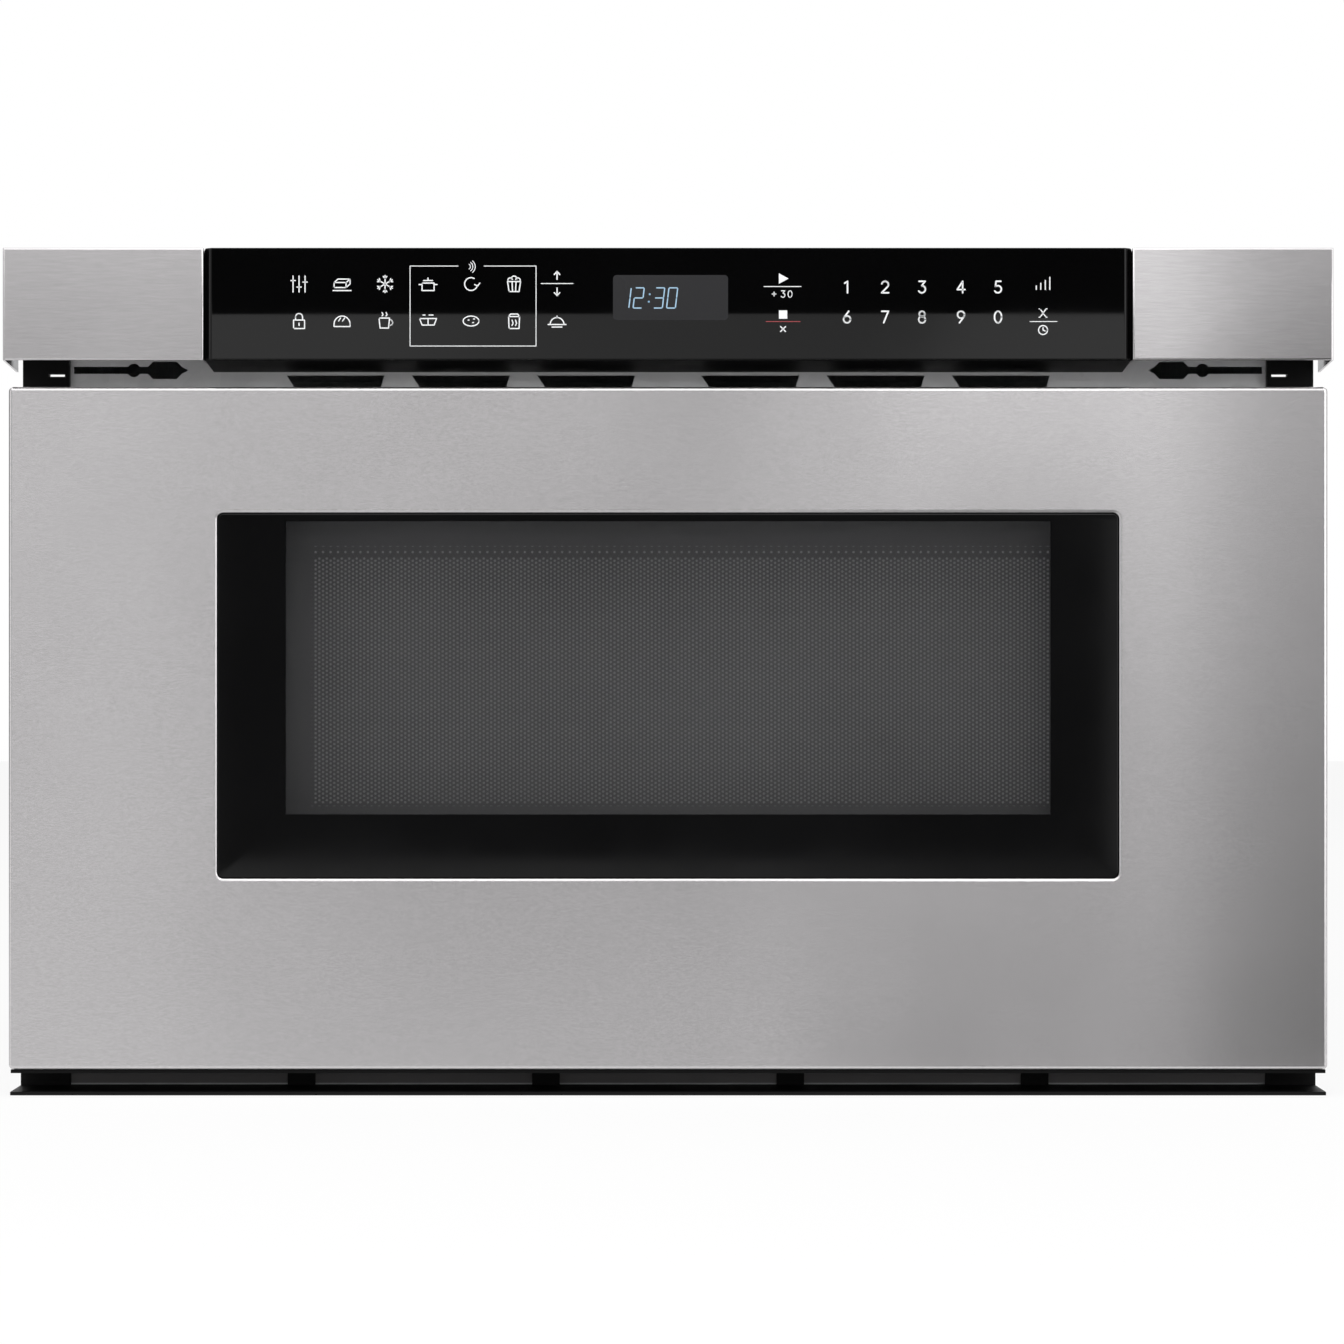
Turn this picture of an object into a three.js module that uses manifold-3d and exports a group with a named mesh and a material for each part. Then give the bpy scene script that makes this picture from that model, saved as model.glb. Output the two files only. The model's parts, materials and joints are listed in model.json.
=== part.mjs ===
// Built-in microwave drawer: a steel-fronted drawer that slides out of a fixed oven body,
// under a glass control panel.
// Millimetres. +X right, +Y to the back, +Z up. The origin is the centre of the underside.
import * as THREE from "three";
import { mergeVertices } from "three/addons/utils/BufferGeometryUtils.js";
import Module from "manifold-3d";

const wasm = await Module();
wasm.setup();

// ---- Driving dimensions ----
const overallWidth = 606.4; // across the steel end trims
const overallHeight = 387.4;
const overallDepth = 593.8; // from the control glass to the rear cover's rim
const clearance = 0.3; // between neighbours that don't touch

const panelHeight = 51.2; // control panel
const panelDepth = 46; // from the control glass back to the front plate
const endTrimWidth = 91.5;
const glassThickness = 3;
const glassBevel = 3.2;
const housingWall = 2;
const housingDrop = 2.7; // how far the housing's underside falls towards the back

const drawerSetback = 6; // drawer face behind the control glass
const drawerSideInset = 1.8; // drawer front inside the overall width, each side
const drawerTopGap = 11.8; // between the control panel and the drawer front
const drawerBottom = 12.4;
const skinSheet = 1;
const skinReturn = 29; // depth of the skin's folded edges
const skinCorner = 2.2;
const windowSideMargin = 95.7; // from the drawer front's side to the window glass
const windowTopMargin = 57.9;
const windowBottomMargin = 87.7;
const windowThickness = 4;
const windowCorner = 2.5;
const clearSideMargin = 30.6; // printed border of the window glass
const clearTopMargin = 3.4;
const clearBottomMargin = 28.8;
const screenLap = 6; // screen over the edge of the window opening
const frameSheet = 2;
const frameReturn = 31.9; // inner frame, from the skin to its back face

const bodyInset = 23.8; // body side inside the overall width, each side
const bodyTopDrop = 15.4; // body top under the overall height
const bodySheet = 1;
const plateSheet = 1.6;
const flangeInset = 3.8; // mounting flange inside the overall width
const flangeTopDrop = 6;
const flangeBottom = 3;
const baseSheet = 1.6;
const baseWall = 10;
const rearRim = 12; // width of the rear cover's rim
const rearDish = 3; // depth of the rear cover's dished field
const rearSheet = 1.6;

const sideBay = 45.4; // between the body side and the cavity, room for a slide
const cavityBottom = 66.8;
const topBay = 85; // above the cavity
const rearBay = 105; // behind the cavity
const cavitySheet = 1.2;
const stirrerBay = 25; // between the stirrer cover and the cavity's ceiling
const panSheet = 1.5;
const panSideGap = 12.5; // between the pan and the cavity side
const glideHeight = 5.2;
const panTopGap = 5; // under the stirrer cover
const panRearGap = 18;
const chokeLap = 26; // choke cover beyond the pan on each side
const chokeThickness = 5;

const slideHeight = 46;
const slideBottom = 90;
const slideDepth = 12.6;
const slideSheet = 1.5;
const slideLength = 398;

const toothModule = 2.5;
const pinionTeeth = 12;
const rackAddendum = 1.7;
const pressureAngle = THREE.MathUtils.degToRad(20);
const backlash = 0.5;
const pinionBehindPlate = 34;
const pinionAxisZ = 28;
const rackWidth = 12;
const rackBar = 8;
const rackBeyondTravel = 46;
const travel = 381;
const shaftRadius = 3;
const shaftClearance = 0.3;

const fanRadius = 58;
const fanX = -190;
const fanZ = 100;
const stirrerY = -40;
const stirrerRadius = 85;
const waveguideWidth = 80;
const waveguideHeight = 34;

// ---- Planes and edges that pieces share ----
const halfWidth = overallWidth / 2;
const frontY = -overallDepth / 2;
const backY = overallDepth / 2;
const plateY = frontY + panelDepth;
const plateBackY = plateY + plateSheet;
const drawerY = frontY + drawerSetback;
const panelBottom = overallHeight - panelHeight;
const glassHalf = halfWidth - endTrimWidth - clearance;
const drawerHalf = halfWidth - drawerSideInset;
const drawerTop = panelBottom - drawerTopGap;
const windowHalf = drawerHalf - windowSideMargin;
const windowLow = drawerBottom + windowBottomMargin;
const windowHigh = drawerTop - windowTopMargin;
const clearHalf = windowHalf - clearSideMargin;
const clearLow = windowLow + clearBottomMargin;
const clearHigh = windowHigh - clearTopMargin;
const frameBackY = drawerY + skinSheet + frameReturn;
const frameHalf = drawerHalf - skinSheet - clearance;
const frameLow = drawerBottom + skinSheet + clearance;
const frameHigh = drawerTop - skinSheet - clearance;
const bodyHalf = halfWidth - bodyInset;
const bodyTop = overallHeight - bodyTopDrop;
const flangeHalf = halfWidth - flangeInset;
const flangeTop = overallHeight - flangeTopDrop;
const bodyEndY = backY - rearSheet;
const rearFieldY = backY - rearDish - rearSheet;
const cavityHalf = bodyHalf - sideBay;
const cavityTop = bodyTop - topBay;
const cavityEndY = backY - rearBay;
const cavityFloor = cavityBottom + cavitySheet;
const stirrerCoverLow = cavityTop - cavitySheet - stirrerBay;
const panHalf = cavityHalf - cavitySheet - panSideGap;
const panBottom = cavityFloor + clearance + glideHeight;
const panTop = stirrerCoverLow - panTopGap;
const panEndY = cavityEndY - cavitySheet - panRearGap;
const slideOuterX = bodyHalf - bodySheet;
const slideInnerX = slideOuterX - slideDepth;
const slideTop = slideBottom + slideHeight;
const pitchRadius = (toothModule * pinionTeeth) / 2;
const pinionY = plateBackY + pinionBehindPlate;
const rackPitchZ = pinionAxisZ + pitchRadius;
const rackRootZ = rackPitchZ + toothModule * 1.25;
const rackTop = rackRootZ + rackBar;

// ---- Solids: three.js geometry, joined and cut with manifold ----
function toSolid(geometry) {
  const plain = geometry.index ? geometry.toNonIndexed() : geometry.clone();
  for (const name of Object.keys(plain.attributes)) {
    if (name !== "position") plain.deleteAttribute(name);
  }
  const merged = mergeVertices(plain, 1e-3);
  return new wasm.Manifold(
    new wasm.Mesh({
      numProp: 3,
      vertProperties: merged.attributes.position.array,
      triVerts: new Uint32Array(merged.index.array),
    }),
  );
}

function toGeometry(solid) {
  const mesh = solid.getMesh();
  const positions = new Float32Array(mesh.numVert * 3);
  for (let i = 0; i < mesh.numVert; i++) {
    const start = i * mesh.numProp;
    positions.set(mesh.vertProperties.subarray(start, start + 3), i * 3);
  }
  const geometry = new THREE.BufferGeometry();
  geometry.setAttribute("position", new THREE.BufferAttribute(positions, 3));
  geometry.setIndex(new THREE.BufferAttribute(new Uint32Array(mesh.triVerts), 1));
  geometry.computeVertexNormals();
  return geometry;
}

const join = (...solids) => solids.flat().reduce((whole, solid) => whole.add(solid));
const cut = (solid, ...tools) => tools.flat().reduce((rest, tool) => rest.subtract(tool), solid);

// A box between two values on each axis, in either order.
function box(x0, x1, y0, y1, z0, z1) {
  const geometry = new THREE.BoxGeometry(Math.abs(x1 - x0), Math.abs(y1 - y0), Math.abs(z1 - z0));
  geometry.translate((x0 + x1) / 2, (y0 + y1) / 2, (z0 + z1) / 2);
  return toSolid(geometry);
}

// A box centred on x = 0.
const wideBox = (half, y0, y1, z0, z1) => box(-half, half, y0, y1, z0, z1);

const X_AXIS = new THREE.Vector3(1, 0, 0);
const Y_AXIS = new THREE.Vector3(0, 1, 0);
const Z_AXIS = new THREE.Vector3(0, 0, 1);

// A cylinder along an axis, from one value on that axis to another, through a point.
function rod(axis, radius, from, to, at, segments = 24) {
  const geometry = new THREE.CylinderGeometry(radius, radius, Math.abs(to - from), segments);
  const turn = new THREE.Quaternion().setFromUnitVectors(Y_AXIS, axis);
  geometry.applyQuaternion(turn);
  const centre = new THREE.Vector3(...at).addScaledVector(axis, (from + to) / 2);
  geometry.translate(centre.x, centre.y, centre.z);
  return toSolid(geometry);
}
const rodX = (radius, from, to, y, z, segments) => rod(X_AXIS, radius, from, to, [0, y, z], segments);
const rodY = (radius, from, to, x, z, segments) => rod(Y_AXIS, radius, from, to, [x, 0, z], segments);
const rodZ = (radius, from, to, x, y, segments) => rod(Z_AXIS, radius, from, to, [x, y, 0], segments);

function prism(points, depth, matrix) {
  const asShape = () => new THREE.Shape(points.map(([u, v]) => new THREE.Vector2(u, v)));
  const shape = points instanceof THREE.Shape ? points : asShape();
  const geometry = new THREE.ExtrudeGeometry(shape, { depth, bevelEnabled: false, curveSegments: 4 });
  geometry.applyMatrix4(matrix);
  return toSolid(geometry);
}

// Outlines in the plane across an axis, extruded between two values on it.
function prismY(points, y0, y1) {
  const matrix = new THREE.Matrix4().makeBasis(X_AXIS, Z_AXIS, Y_AXIS.clone().negate());
  return prism(points, Math.abs(y1 - y0), matrix.setPosition(0, Math.max(y0, y1), 0));
}
function prismX(points, x0, x1) {
  const matrix = new THREE.Matrix4().makeBasis(Y_AXIS, Z_AXIS, X_AXIS);
  return prism(points, Math.abs(x1 - x0), matrix.setPosition(Math.min(x0, x1), 0, 0));
}
function prismZ(points, z0, z1) {
  const matrix = new THREE.Matrix4().setPosition(0, 0, Math.min(z0, z1));
  return prism(points, Math.abs(z1 - z0), matrix);
}

function roundedRectangle(x0, x1, z0, z1, radius) {
  const shape = new THREE.Shape();
  shape.moveTo(x0 + radius, z0);
  shape.lineTo(x1 - radius, z0);
  shape.absarc(x1 - radius, z0 + radius, radius, -Math.PI / 2, 0);
  shape.lineTo(x1, z1 - radius);
  shape.absarc(x1 - radius, z1 - radius, radius, 0, Math.PI / 2);
  shape.lineTo(x0 + radius, z1);
  shape.absarc(x0 + radius, z1 - radius, radius, Math.PI / 2, Math.PI);
  shape.lineTo(x0, z0 + radius);
  shape.absarc(x0 + radius, z0 + radius, radius, Math.PI, 1.5 * Math.PI);
  return shape;
}

// A row of equal boxes' centres, spread evenly around a middle value.
const spread = (count, pitch, middle = 0) =>
  Array.from({ length: count }, (_, i) => middle + (i - (count - 1) / 2) * pitch);

// ---- Materials ----
const paint = (color, roughness, metalness) =>
  new THREE.MeshStandardMaterial({ color, roughness, metalness });
const brushedSteel = paint(0xaaa9a8, 0.35, 1);
const galvanised = paint(0x9fa3a6, 0.5, 1);
const blackGlass = paint(0x0b0b0d, 0.08, 0);
const blackPlastic = paint(0x17171a, 0.55, 0);
const enamel = paint(0xb9b8b4, 0.4, 0);
const clearFilm = paint(0xd8dcdc, 0.2, 0);
const circuitGreen = paint(0x2c5a3c, 0.6, 0);
const copperBrown = paint(0x6b4a33, 0.5, 0.3);
const whitePlastic = paint(0xdcdcd6, 0.5, 0);
const displayBlue = paint(0x20262c, 0.2, 0);

const object = new THREE.Group();
object.name = "microwave_drawer";
const groups = new Map();

// Adds one named piece to a sub-assembly's group.
function piece(groupName, name, solid, material) {
  if (!groups.has(groupName)) {
    const group = new THREE.Group();
    group.name = groupName;
    groups.set(groupName, group);
    object.add(group);
  }
  const mesh = new THREE.Mesh(toGeometry(solid), material);
  mesh.name = name;
  groups.get(groupName).add(mesh);
}

const SIDES = [
  ["left", -1],
  ["right", 1],
];
const past = 5; // how far a cutter runs past what it cuts

// ---- Chassis ----
function basePan() {
  const half = bodyHalf - bodySheet - clearance;
  const tray = wideBox(half, plateBackY, bodyEndY, 0, baseWall);
  const insideHalf = half - baseSheet;
  const insideEndY = bodyEndY - baseSheet;
  const inside = wideBox(insideHalf, plateBackY + baseSheet, insideEndY, baseSheet, baseWall + past);
  return cut(tray, inside, intakeSlots());
}

function outerCabinet() {
  const shell = wideBox(bodyHalf, plateBackY, bodyEndY, 0, bodyTop);
  const insideHalf = bodyHalf - bodySheet;
  const inside = wideBox(insideHalf, plateBackY - past, bodyEndY + past, -past, bodyTop - bodySheet);
  const slotLow = bodyTop - 90;
  const slotHigh = bodyTop - 40;
  const slots = SIDES.flatMap(([, side]) =>
    spread(7, 16, backY - 80).map((y) =>
      box(side * (bodyHalf - past), side * (bodyHalf + past), y - 3, y + 3, slotLow, slotHigh),
    ),
  );
  return cut(shell, inside, slots);
}

const glandX = 200;
const glandZ = bodyTop - 42;
const glandRadius = 9;

const ventHalfWidth = 50;
const ventHalfHeight = 2.5;
const ventX = 110;

// A plate with a rim that stands back, dished inside the rim.
function rearCover() {
  const plate = wideBox(bodyHalf, rearFieldY, backY, 0, bodyTop);
  const dishHalf = bodyHalf - rearRim;
  const dish = wideBox(dishHalf, backY - rearDish, backY + past, rearRim, bodyTop - rearRim);
  const wallLow = rearRim - rearSheet;
  const wallHigh = bodyTop - wallLow;
  const field = wideBox(dishHalf + rearSheet, rearFieldY - past, backY, wallLow, wallHigh);
  const behindRim = cut(wideBox(bodyHalf + past, rearFieldY - past, bodyEndY, -past, bodyTop + past), field);
  const slots = [fanX, ventX].flatMap((x) =>
    spread(9, 12, fanZ).map((z) =>
      box(
        x - ventHalfWidth,
        x + ventHalfWidth,
        rearFieldY - past,
        backY + past,
        z - ventHalfHeight,
        z + ventHalfHeight,
      ),
    ),
  );
  const glandHole = rodY(glandRadius + clearance, rearFieldY - past, backY + past, glandX, glandZ);
  return cut(plate, dish, behindRim, slots, glandHole);
}

function cordGland() {
  const barrel = rodY(glandRadius, rearFieldY - 12, backY, glandX, glandZ);
  const flange = rodY(glandRadius + 4, backY - rearDish, backY, glandX, glandZ);
  const bore = rodY(4.5, rearFieldY - 20, backY + past, glandX, glandZ);
  return cut(join(barrel, flange), bore);
}

// Cut-outs along the plate's top strip, which shows between the panel and the drawer.
const stripTop = drawerTop + 7.6;
const ventWidth = 45.6;
const ventPitch = 58.3;
const ventMiddleGap = 30.7;

// A key-hole on one side of the centre: a slot, a circle and a long octagon with a tail.
function keyhole(side) {
  const z = stripTop + 2.4;
  const slotHalf = 1.65;
  const circleX = 248.5;
  const octagonX = 234.1;
  const octagonHalf = 8.1;
  const octagonRise = 4.05;
  const chamfer = 2.6;
  const through = (points) =>
    prismY(
      points.map(([x, rise]) => [side * x, z + rise]),
      plateY - past,
      plateBackY + past,
    );
  const slot = box(side * octagonX, side * 276.3, plateY - past, plateBackY + past, z - slotHalf, z + slotHalf);
  const circle = rodY(3.2, plateY - past, plateBackY + past, side * circleX, z, 16);
  const octagon = through([
    [octagonX + octagonHalf, -octagonRise + chamfer],
    [octagonX + octagonHalf, octagonRise - chamfer],
    [octagonX + octagonHalf - chamfer, octagonRise],
    [octagonX - octagonHalf + chamfer, octagonRise],
    [octagonX - octagonHalf, octagonRise - chamfer],
    [octagonX - octagonHalf - 3, 0],
    [octagonX - octagonHalf, -octagonRise + chamfer],
    [octagonX - octagonHalf + chamfer, -octagonRise],
    [octagonX + octagonHalf - chamfer, -octagonRise],
  ]);
  return [slot, circle, octagon];
}

function stripCutouts() {
  const tools = [];
  for (const [, side] of SIDES) {
    for (let i = 0; i < 3; i++) {
      const nearX = ventMiddleGap / 2 + i * ventPitch;
      const left = side < 0 ? -nearX - ventWidth : nearX;
      const outline = [
        [left, stripTop],
        [left + 7, stripTop - 10],
        [left + ventWidth - 3, stripTop - 10],
        [left + ventWidth, stripTop],
      ];
      tools.push(prismY(outline, plateY - past, plateBackY + past));
    }
    tools.push(...keyhole(side));
  }
  return tools;
}

const hookX = slideInnerX + 5;
const hookHalf = 3;
const hookLow = clearHigh - 16;
const hookHigh = hookLow + 14;
const flangeHoles = [60, overallHeight - 80];
const flangeHoleX = (bodyHalf + flangeHalf) / 2;
const flangeHoleRadius = 2.6;

const flangeScrewHoles = () =>
  SIDES.flatMap(([, side]) =>
    flangeHoles.map((z) => rodY(flangeHoleRadius, plateY - 20, plateBackY + past, side * flangeHoleX, z, 16)),
  );

// Narrow slots through the posts and the plate, beside the body.
const postSlots = () =>
  SIDES.map(([, side]) =>
    box(side * (bodyHalf + 0.5), side * (bodyHalf + 8), plateY - 20, plateBackY + past, stripTop - 0.9, stripTop + 0.4),
  );

// Air intakes under the drawer, through the plate and the base pan's front wall.
const trimSlots = 5;
const trimSlotPitch = 113.6;
const trimSlotHalf = 50.4;
const intakeSlots = () =>
  spread(trimSlots, trimSlotPitch).map((x) =>
    box(x - trimSlotHalf + 6, x + trimSlotHalf - 6, plateY - past, plateBackY + past, baseWall - 2.4, baseWall - 0.4),
  );

function frontFrame() {
  const plate = wideBox(flangeHalf, plateY, plateBackY, flangeBottom, flangeTop);
  const through = (x0, x1, low, high) => box(x0, x1, plateY - past, plateBackY + past, low, high);
  const openingHalf = cavityHalf - 7.2;
  const opening = through(-openingHalf, openingHalf, cavityFloor, panTop + 14);
  const rackHalf = rackWidth / 2 + 3;
  const rackSlot = through(-rackHalf, rackHalf, rackPitchZ - rackAddendum - 3, rackTop + 3);
  const sideSlots = SIDES.flatMap(([, side]) => [
    through(side * (slideInnerX - 0.7), side * (slideOuterX - 0.9), slideBottom - 2, slideTop + 2),
    through(side * (hookX - hookHalf - 1), side * (hookX + hookHalf + 1), hookLow - 2, hookHigh + 2),
  ]);
  return cut(
    plate,
    opening,
    rackSlot,
    sideSlots,
    stripCutouts(),
    flangeScrewHoles(),
    postSlots(),
    intakeSlots(),
  );
}

const postThickness = 5.5;

function sidePost(side) {
  const inner = side * (bodyHalf - 1.5);
  const outer = side * flangeHalf;
  const post = box(inner, outer, plateY - postThickness, plateY, drawerBottom + 2, panelBottom + 8);
  return cut(post, flangeScrewHoles(), postSlots());
}

// A channel open to the front; the slots are in its web, which lies on the plate.
function lowerVentTrim() {
  const front = drawerY + 4;
  const low = 0.5;
  const high = drawerBottom - clearance;
  const wall = 1.6;
  const half = drawerHalf - 0.5;
  const web = wideBox(half, plateY - wall, plateY, low, high);
  const flange = wideBox(half, front, plateY, high - wall, high);
  const lip = wideBox(half, front - 2, plateY, low, low + wall);
  const slots = spread(trimSlots, trimSlotPitch).map((x) =>
    box(x - trimSlotHalf, x + trimSlotHalf, plateY - past, plateY + past, low + wall + 0.2, high - wall - 0.2),
  );
  return join(cut(web, slots), flange, lip);
}

// ---- Control panel ----
const panelBackLow = panelBottom - housingDrop;
const housingFront = frontY + glassThickness;
const displayHalf = 26;
const displayLow = panelBottom + 17;
const displayHigh = displayLow + 20.5;
const boardFront = housingFront + housingWall + 6;
const boardSheet = 1.6;
const boardHalf = 150;

function controlHousing() {
  const high = overallHeight - 0.6;
  const half = glassHalf;
  const outer = prismX(
    [
      [housingFront, panelBottom],
      [plateY, panelBackLow],
      [plateY, high],
      [housingFront, high],
    ],
    -half,
    half,
  );
  const inner = prismX(
    [
      [housingFront + housingWall, panelBottom + housingWall],
      [plateY + past, panelBackLow + housingWall],
      [plateY + past, high - housingWall],
      [housingFront + housingWall, high - housingWall],
    ],
    -half + housingWall,
    half - housingWall,
  );
  const wallEnd = housingFront + housingWall + 1;
  const windowHole = wideBox(displayHalf + 1, housingFront - past, wallEnd, displayLow - 1, displayHigh + 1);
  const bosses = spread(4, boardHalf * 0.62).map((x) =>
    rodY(3, housingFront + housingWall - 0.5, boardFront, x + 12, panelBottom + 10, 12),
  );
  return join(cut(outer, inner, windowHole), bosses);
}

function touchGlass() {
  const outline = [
    [-glassHalf + glassBevel, frontY],
    [glassHalf - glassBevel, frontY],
    [glassHalf, housingFront],
    [-glassHalf, housingFront],
  ];
  return prismZ(outline, panelBottom + 0.3, overallHeight);
}

const displayModule = () => wideBox(displayHalf, housingFront + 0.3, boardFront, displayLow, displayHigh);
const controlBoard = () =>
  wideBox(boardHalf, boardFront, boardFront + boardSheet, panelBottom + 5, overallHeight - 6);

function endTrim(side) {
  const inner = glassHalf + clearance;
  const wall = 1;
  const shell = box(side * inner, side * halfWidth, frontY, plateY, panelBottom, overallHeight);
  const hollow = box(
    side * (inner + wall),
    side * (halfWidth - wall),
    frontY + wall,
    plateY + past,
    panelBottom - past,
    overallHeight - wall,
  );
  const skirt = [
    [frontY, panelBottom + wall],
    [frontY, panelBottom],
    [plateY, panelBackLow],
    [plateY, panelBottom + wall],
  ];
  return join(cut(shell, hollow), prismX(skirt, side * (halfWidth - wall), side * halfWidth));
}

// ---- Cooking cavity and what stands around it ----
const lampX = cavityHalf - 60;
const lampZ = cavityTop - 45;

function cavityLiner() {
  const outer = wideBox(cavityHalf, plateBackY, cavityEndY, cavityBottom, cavityTop);
  const ceiling = cavityTop - cavitySheet;
  const innerHalf = cavityHalf - cavitySheet;
  const inner = wideBox(innerHalf, plateBackY - past, cavityEndY - cavitySheet, cavityFloor, ceiling);
  const shaftHole = rodZ(9, cavityTop - past, cavityTop + past, 0, stirrerY);
  const lampHole = rodY(8, cavityEndY - past, cavityEndY + past, lampX, lampZ);
  const airSlots = spread(6, 14, -120).map((x) =>
    box(x - 3, x + 3, cavityEndY - past, cavityEndY + past, lampZ - 30, lampZ + 10),
  );
  return cut(outer, inner, shaftHole, lampHole, airSlots);
}

const coverHalf = 105;

function stirrerCover() {
  const sheet = wideBox(
    coverHalf,
    stirrerY - coverHalf,
    stirrerY + coverHalf,
    stirrerCoverLow,
    stirrerCoverLow + 2,
  );
  const postPitch = 2 * (coverHalf - 7);
  const posts = spread(2, postPitch).flatMap((x) =>
    spread(2, postPitch, stirrerY).map((y) =>
      rodZ(4, stirrerCoverLow + 1, cavityTop - cavitySheet, x, y, 12),
    ),
  );
  return join(sheet, posts);
}

const waveguideTop = cavityTop + waveguideHeight;

function waveguide() {
  const half = waveguideWidth / 2;
  const duct = wideBox(half, stirrerY - 50, cavityEndY, cavityTop, waveguideTop);
  const inside = wideBox(half - 1.5, stirrerY - 48.5, cavityEndY - 1.5, cavityTop - past, waveguideTop - 1.5);
  const shaftHole = rodZ(5, waveguideTop - past, waveguideTop + past, 0, stirrerY);
  const antennaHole = rodY(11, cavityEndY - past, cavityEndY + past, 0, cavityTop + waveguideHeight / 2);
  return cut(duct, inside, shaftHole, antennaHole);
}

function stirrerFan() {
  const z = cavityTop - cavitySheet - 14;
  const hub = rodZ(10, z - 2, z + 5, 0, stirrerY);
  const shaft = rodZ(shaftRadius, z, waveguideTop + 8, 0, stirrerY, 16);
  const blades = [0, 1, 2, 3].map((i) => {
    const geometry = new THREE.BoxGeometry(stirrerRadius - 5, 34, 1.2);
    geometry.rotateX(0.12);
    geometry.translate((stirrerRadius + 5) / 2, 0, 0);
    geometry.rotateZ((i * Math.PI) / 2);
    geometry.translate(0, stirrerY, z);
    return toSolid(geometry);
  });
  return join(hub, shaft, blades);
}

function stirrerMotor() {
  const can = rodZ(24, waveguideTop, waveguideTop + 18, 0, stirrerY, 32);
  const ear = box(-34, 34, stirrerY - 6, stirrerY + 6, waveguideTop, waveguideTop + 1.5);
  const bore = rodZ(shaftRadius + shaftClearance, waveguideTop - past, waveguideTop + 10, 0, stirrerY, 16);
  return cut(join(can, ear), bore);
}

function magnetron() {
  const y = cavityEndY;
  const z = cavityTop + waveguideHeight / 2;
  const antenna = rodY(9, y - 14, y + 10, 0, z, 20);
  const gasket = rodY(20, y, y + 4, 0, z, 24);
  const flange = wideBox(42, y + 4, y + 6, z - 30, z + 38);
  const sideWalls = wideBox(42, y + 6, y + 62, z - 30, z + 38);
  const throughWay = wideBox(40.4, y + 4, y + 60.4, z - 30 - past, z + 38 + past);
  const yoke = cut(sideWalls, throughWay);
  const anode = rodY(19, y + 5, y + 61, 0, z, 24);
  const fins = spread(5, 8, y + 31).map((at) => wideBox(41, at - 0.6, at + 0.6, z - 22, z + 22));
  const filterBox = wideBox(30, y + 61, y + 84, z - 24, z + 24);
  return join(antenna, gasket, flange, yoke, anode, fins, filterBox);
}

const cutoutX = 90;

function thermalCutout() {
  const plate = box(cutoutX - 16, cutoutX + 16, stirrerY - 7, stirrerY + 7, cavityTop, cavityTop + 1.2);
  const cup = rodZ(8, cavityTop + 1, cavityTop + 10, cutoutX, stirrerY, 20);
  const tabs = spread(2, 8, cutoutX).map((x) =>
    box(x - 0.5, x + 0.5, stirrerY - 3, stirrerY + 3, cavityTop + 9, cavityTop + 18),
  );
  return join(plate, cup, tabs);
}

function ovenLamp() {
  const bulb = rodY(6, cavityEndY - 3, cavityEndY + 12, lampX, lampZ, 20);
  const socket = rodY(12, cavityEndY + 10, cavityEndY + 34, lampX, lampZ, 24);
  const holder = box(lampX - 22, lampX + 22, cavityEndY, cavityEndY + 12, lampZ - 15, lampZ + 15);
  const pocket = box(lampX - 20, lampX + 20, cavityEndY - past, cavityEndY + 10.5, lampZ - 13, lampZ + 13);
  return join(cut(holder, pocket), bulb, socket);
}

// ---- Cooling, power supply and filter ----
const fanPlateY = backY - 58;
const fanPlateSheet = 10;

function fanHousing() {
  const half = fanRadius + 12;
  const plateEndY = fanPlateY + fanPlateSheet;
  const plate = box(fanX - half, fanX + half, fanPlateY, plateEndY, baseSheet, fanZ + half);
  const hole = rodY(fanRadius + 3, fanPlateY - past, plateEndY + past, fanX, fanZ, 48);
  const foot = box(fanX - half, fanX + half, fanPlateY, fanPlateY + 34, baseSheet, baseSheet + 2);
  return join(cut(plate, hole), foot);
}

function fanMotor() {
  const y = fanPlateY + fanPlateSheet;
  const can = rodY(22, y + 4, y + 30, fanX, fanZ, 32);
  const arms = [0, 1, 2, 3].map((i) => {
    const angle = Math.PI / 4 + (i * Math.PI) / 2;
    const geometry = new THREE.BoxGeometry(fanRadius + 9 - 16, 4, 7);
    geometry.translate((fanRadius + 9 + 16) / 2, 0, 0);
    geometry.rotateY(angle);
    geometry.translate(fanX, y + 2, fanZ);
    return toSolid(geometry);
  });
  const seats = rodY(20, y, y + 5, fanX, fanZ, 32);
  const bore = rodY(shaftRadius + shaftClearance, y - past, y + 16, fanX, fanZ, 16);
  return cut(join(can, seats, arms), bore);
}

function fanBlade() {
  const y = fanPlateY + fanPlateSheet / 2;
  const hub = rodY(14, y - 8, y + 4, fanX, fanZ, 24);
  const shaft = rodY(shaftRadius, y, fanPlateY + fanPlateSheet + 14, fanX, fanZ, 16);
  const blades = Array.from({ length: 5 }, (_, i) => {
    const geometry = new THREE.BoxGeometry(fanRadius - 12, 1.6, 22);
    geometry.rotateX(-0.5);
    geometry.translate((fanRadius + 12) / 2 - 1, 0, 0);
    geometry.rotateY((i * 2 * Math.PI) / 5);
    geometry.translate(fanX, y - 3, fanZ);
    return toSolid(geometry);
  });
  return join(hub, shaft, blades);
}

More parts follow.
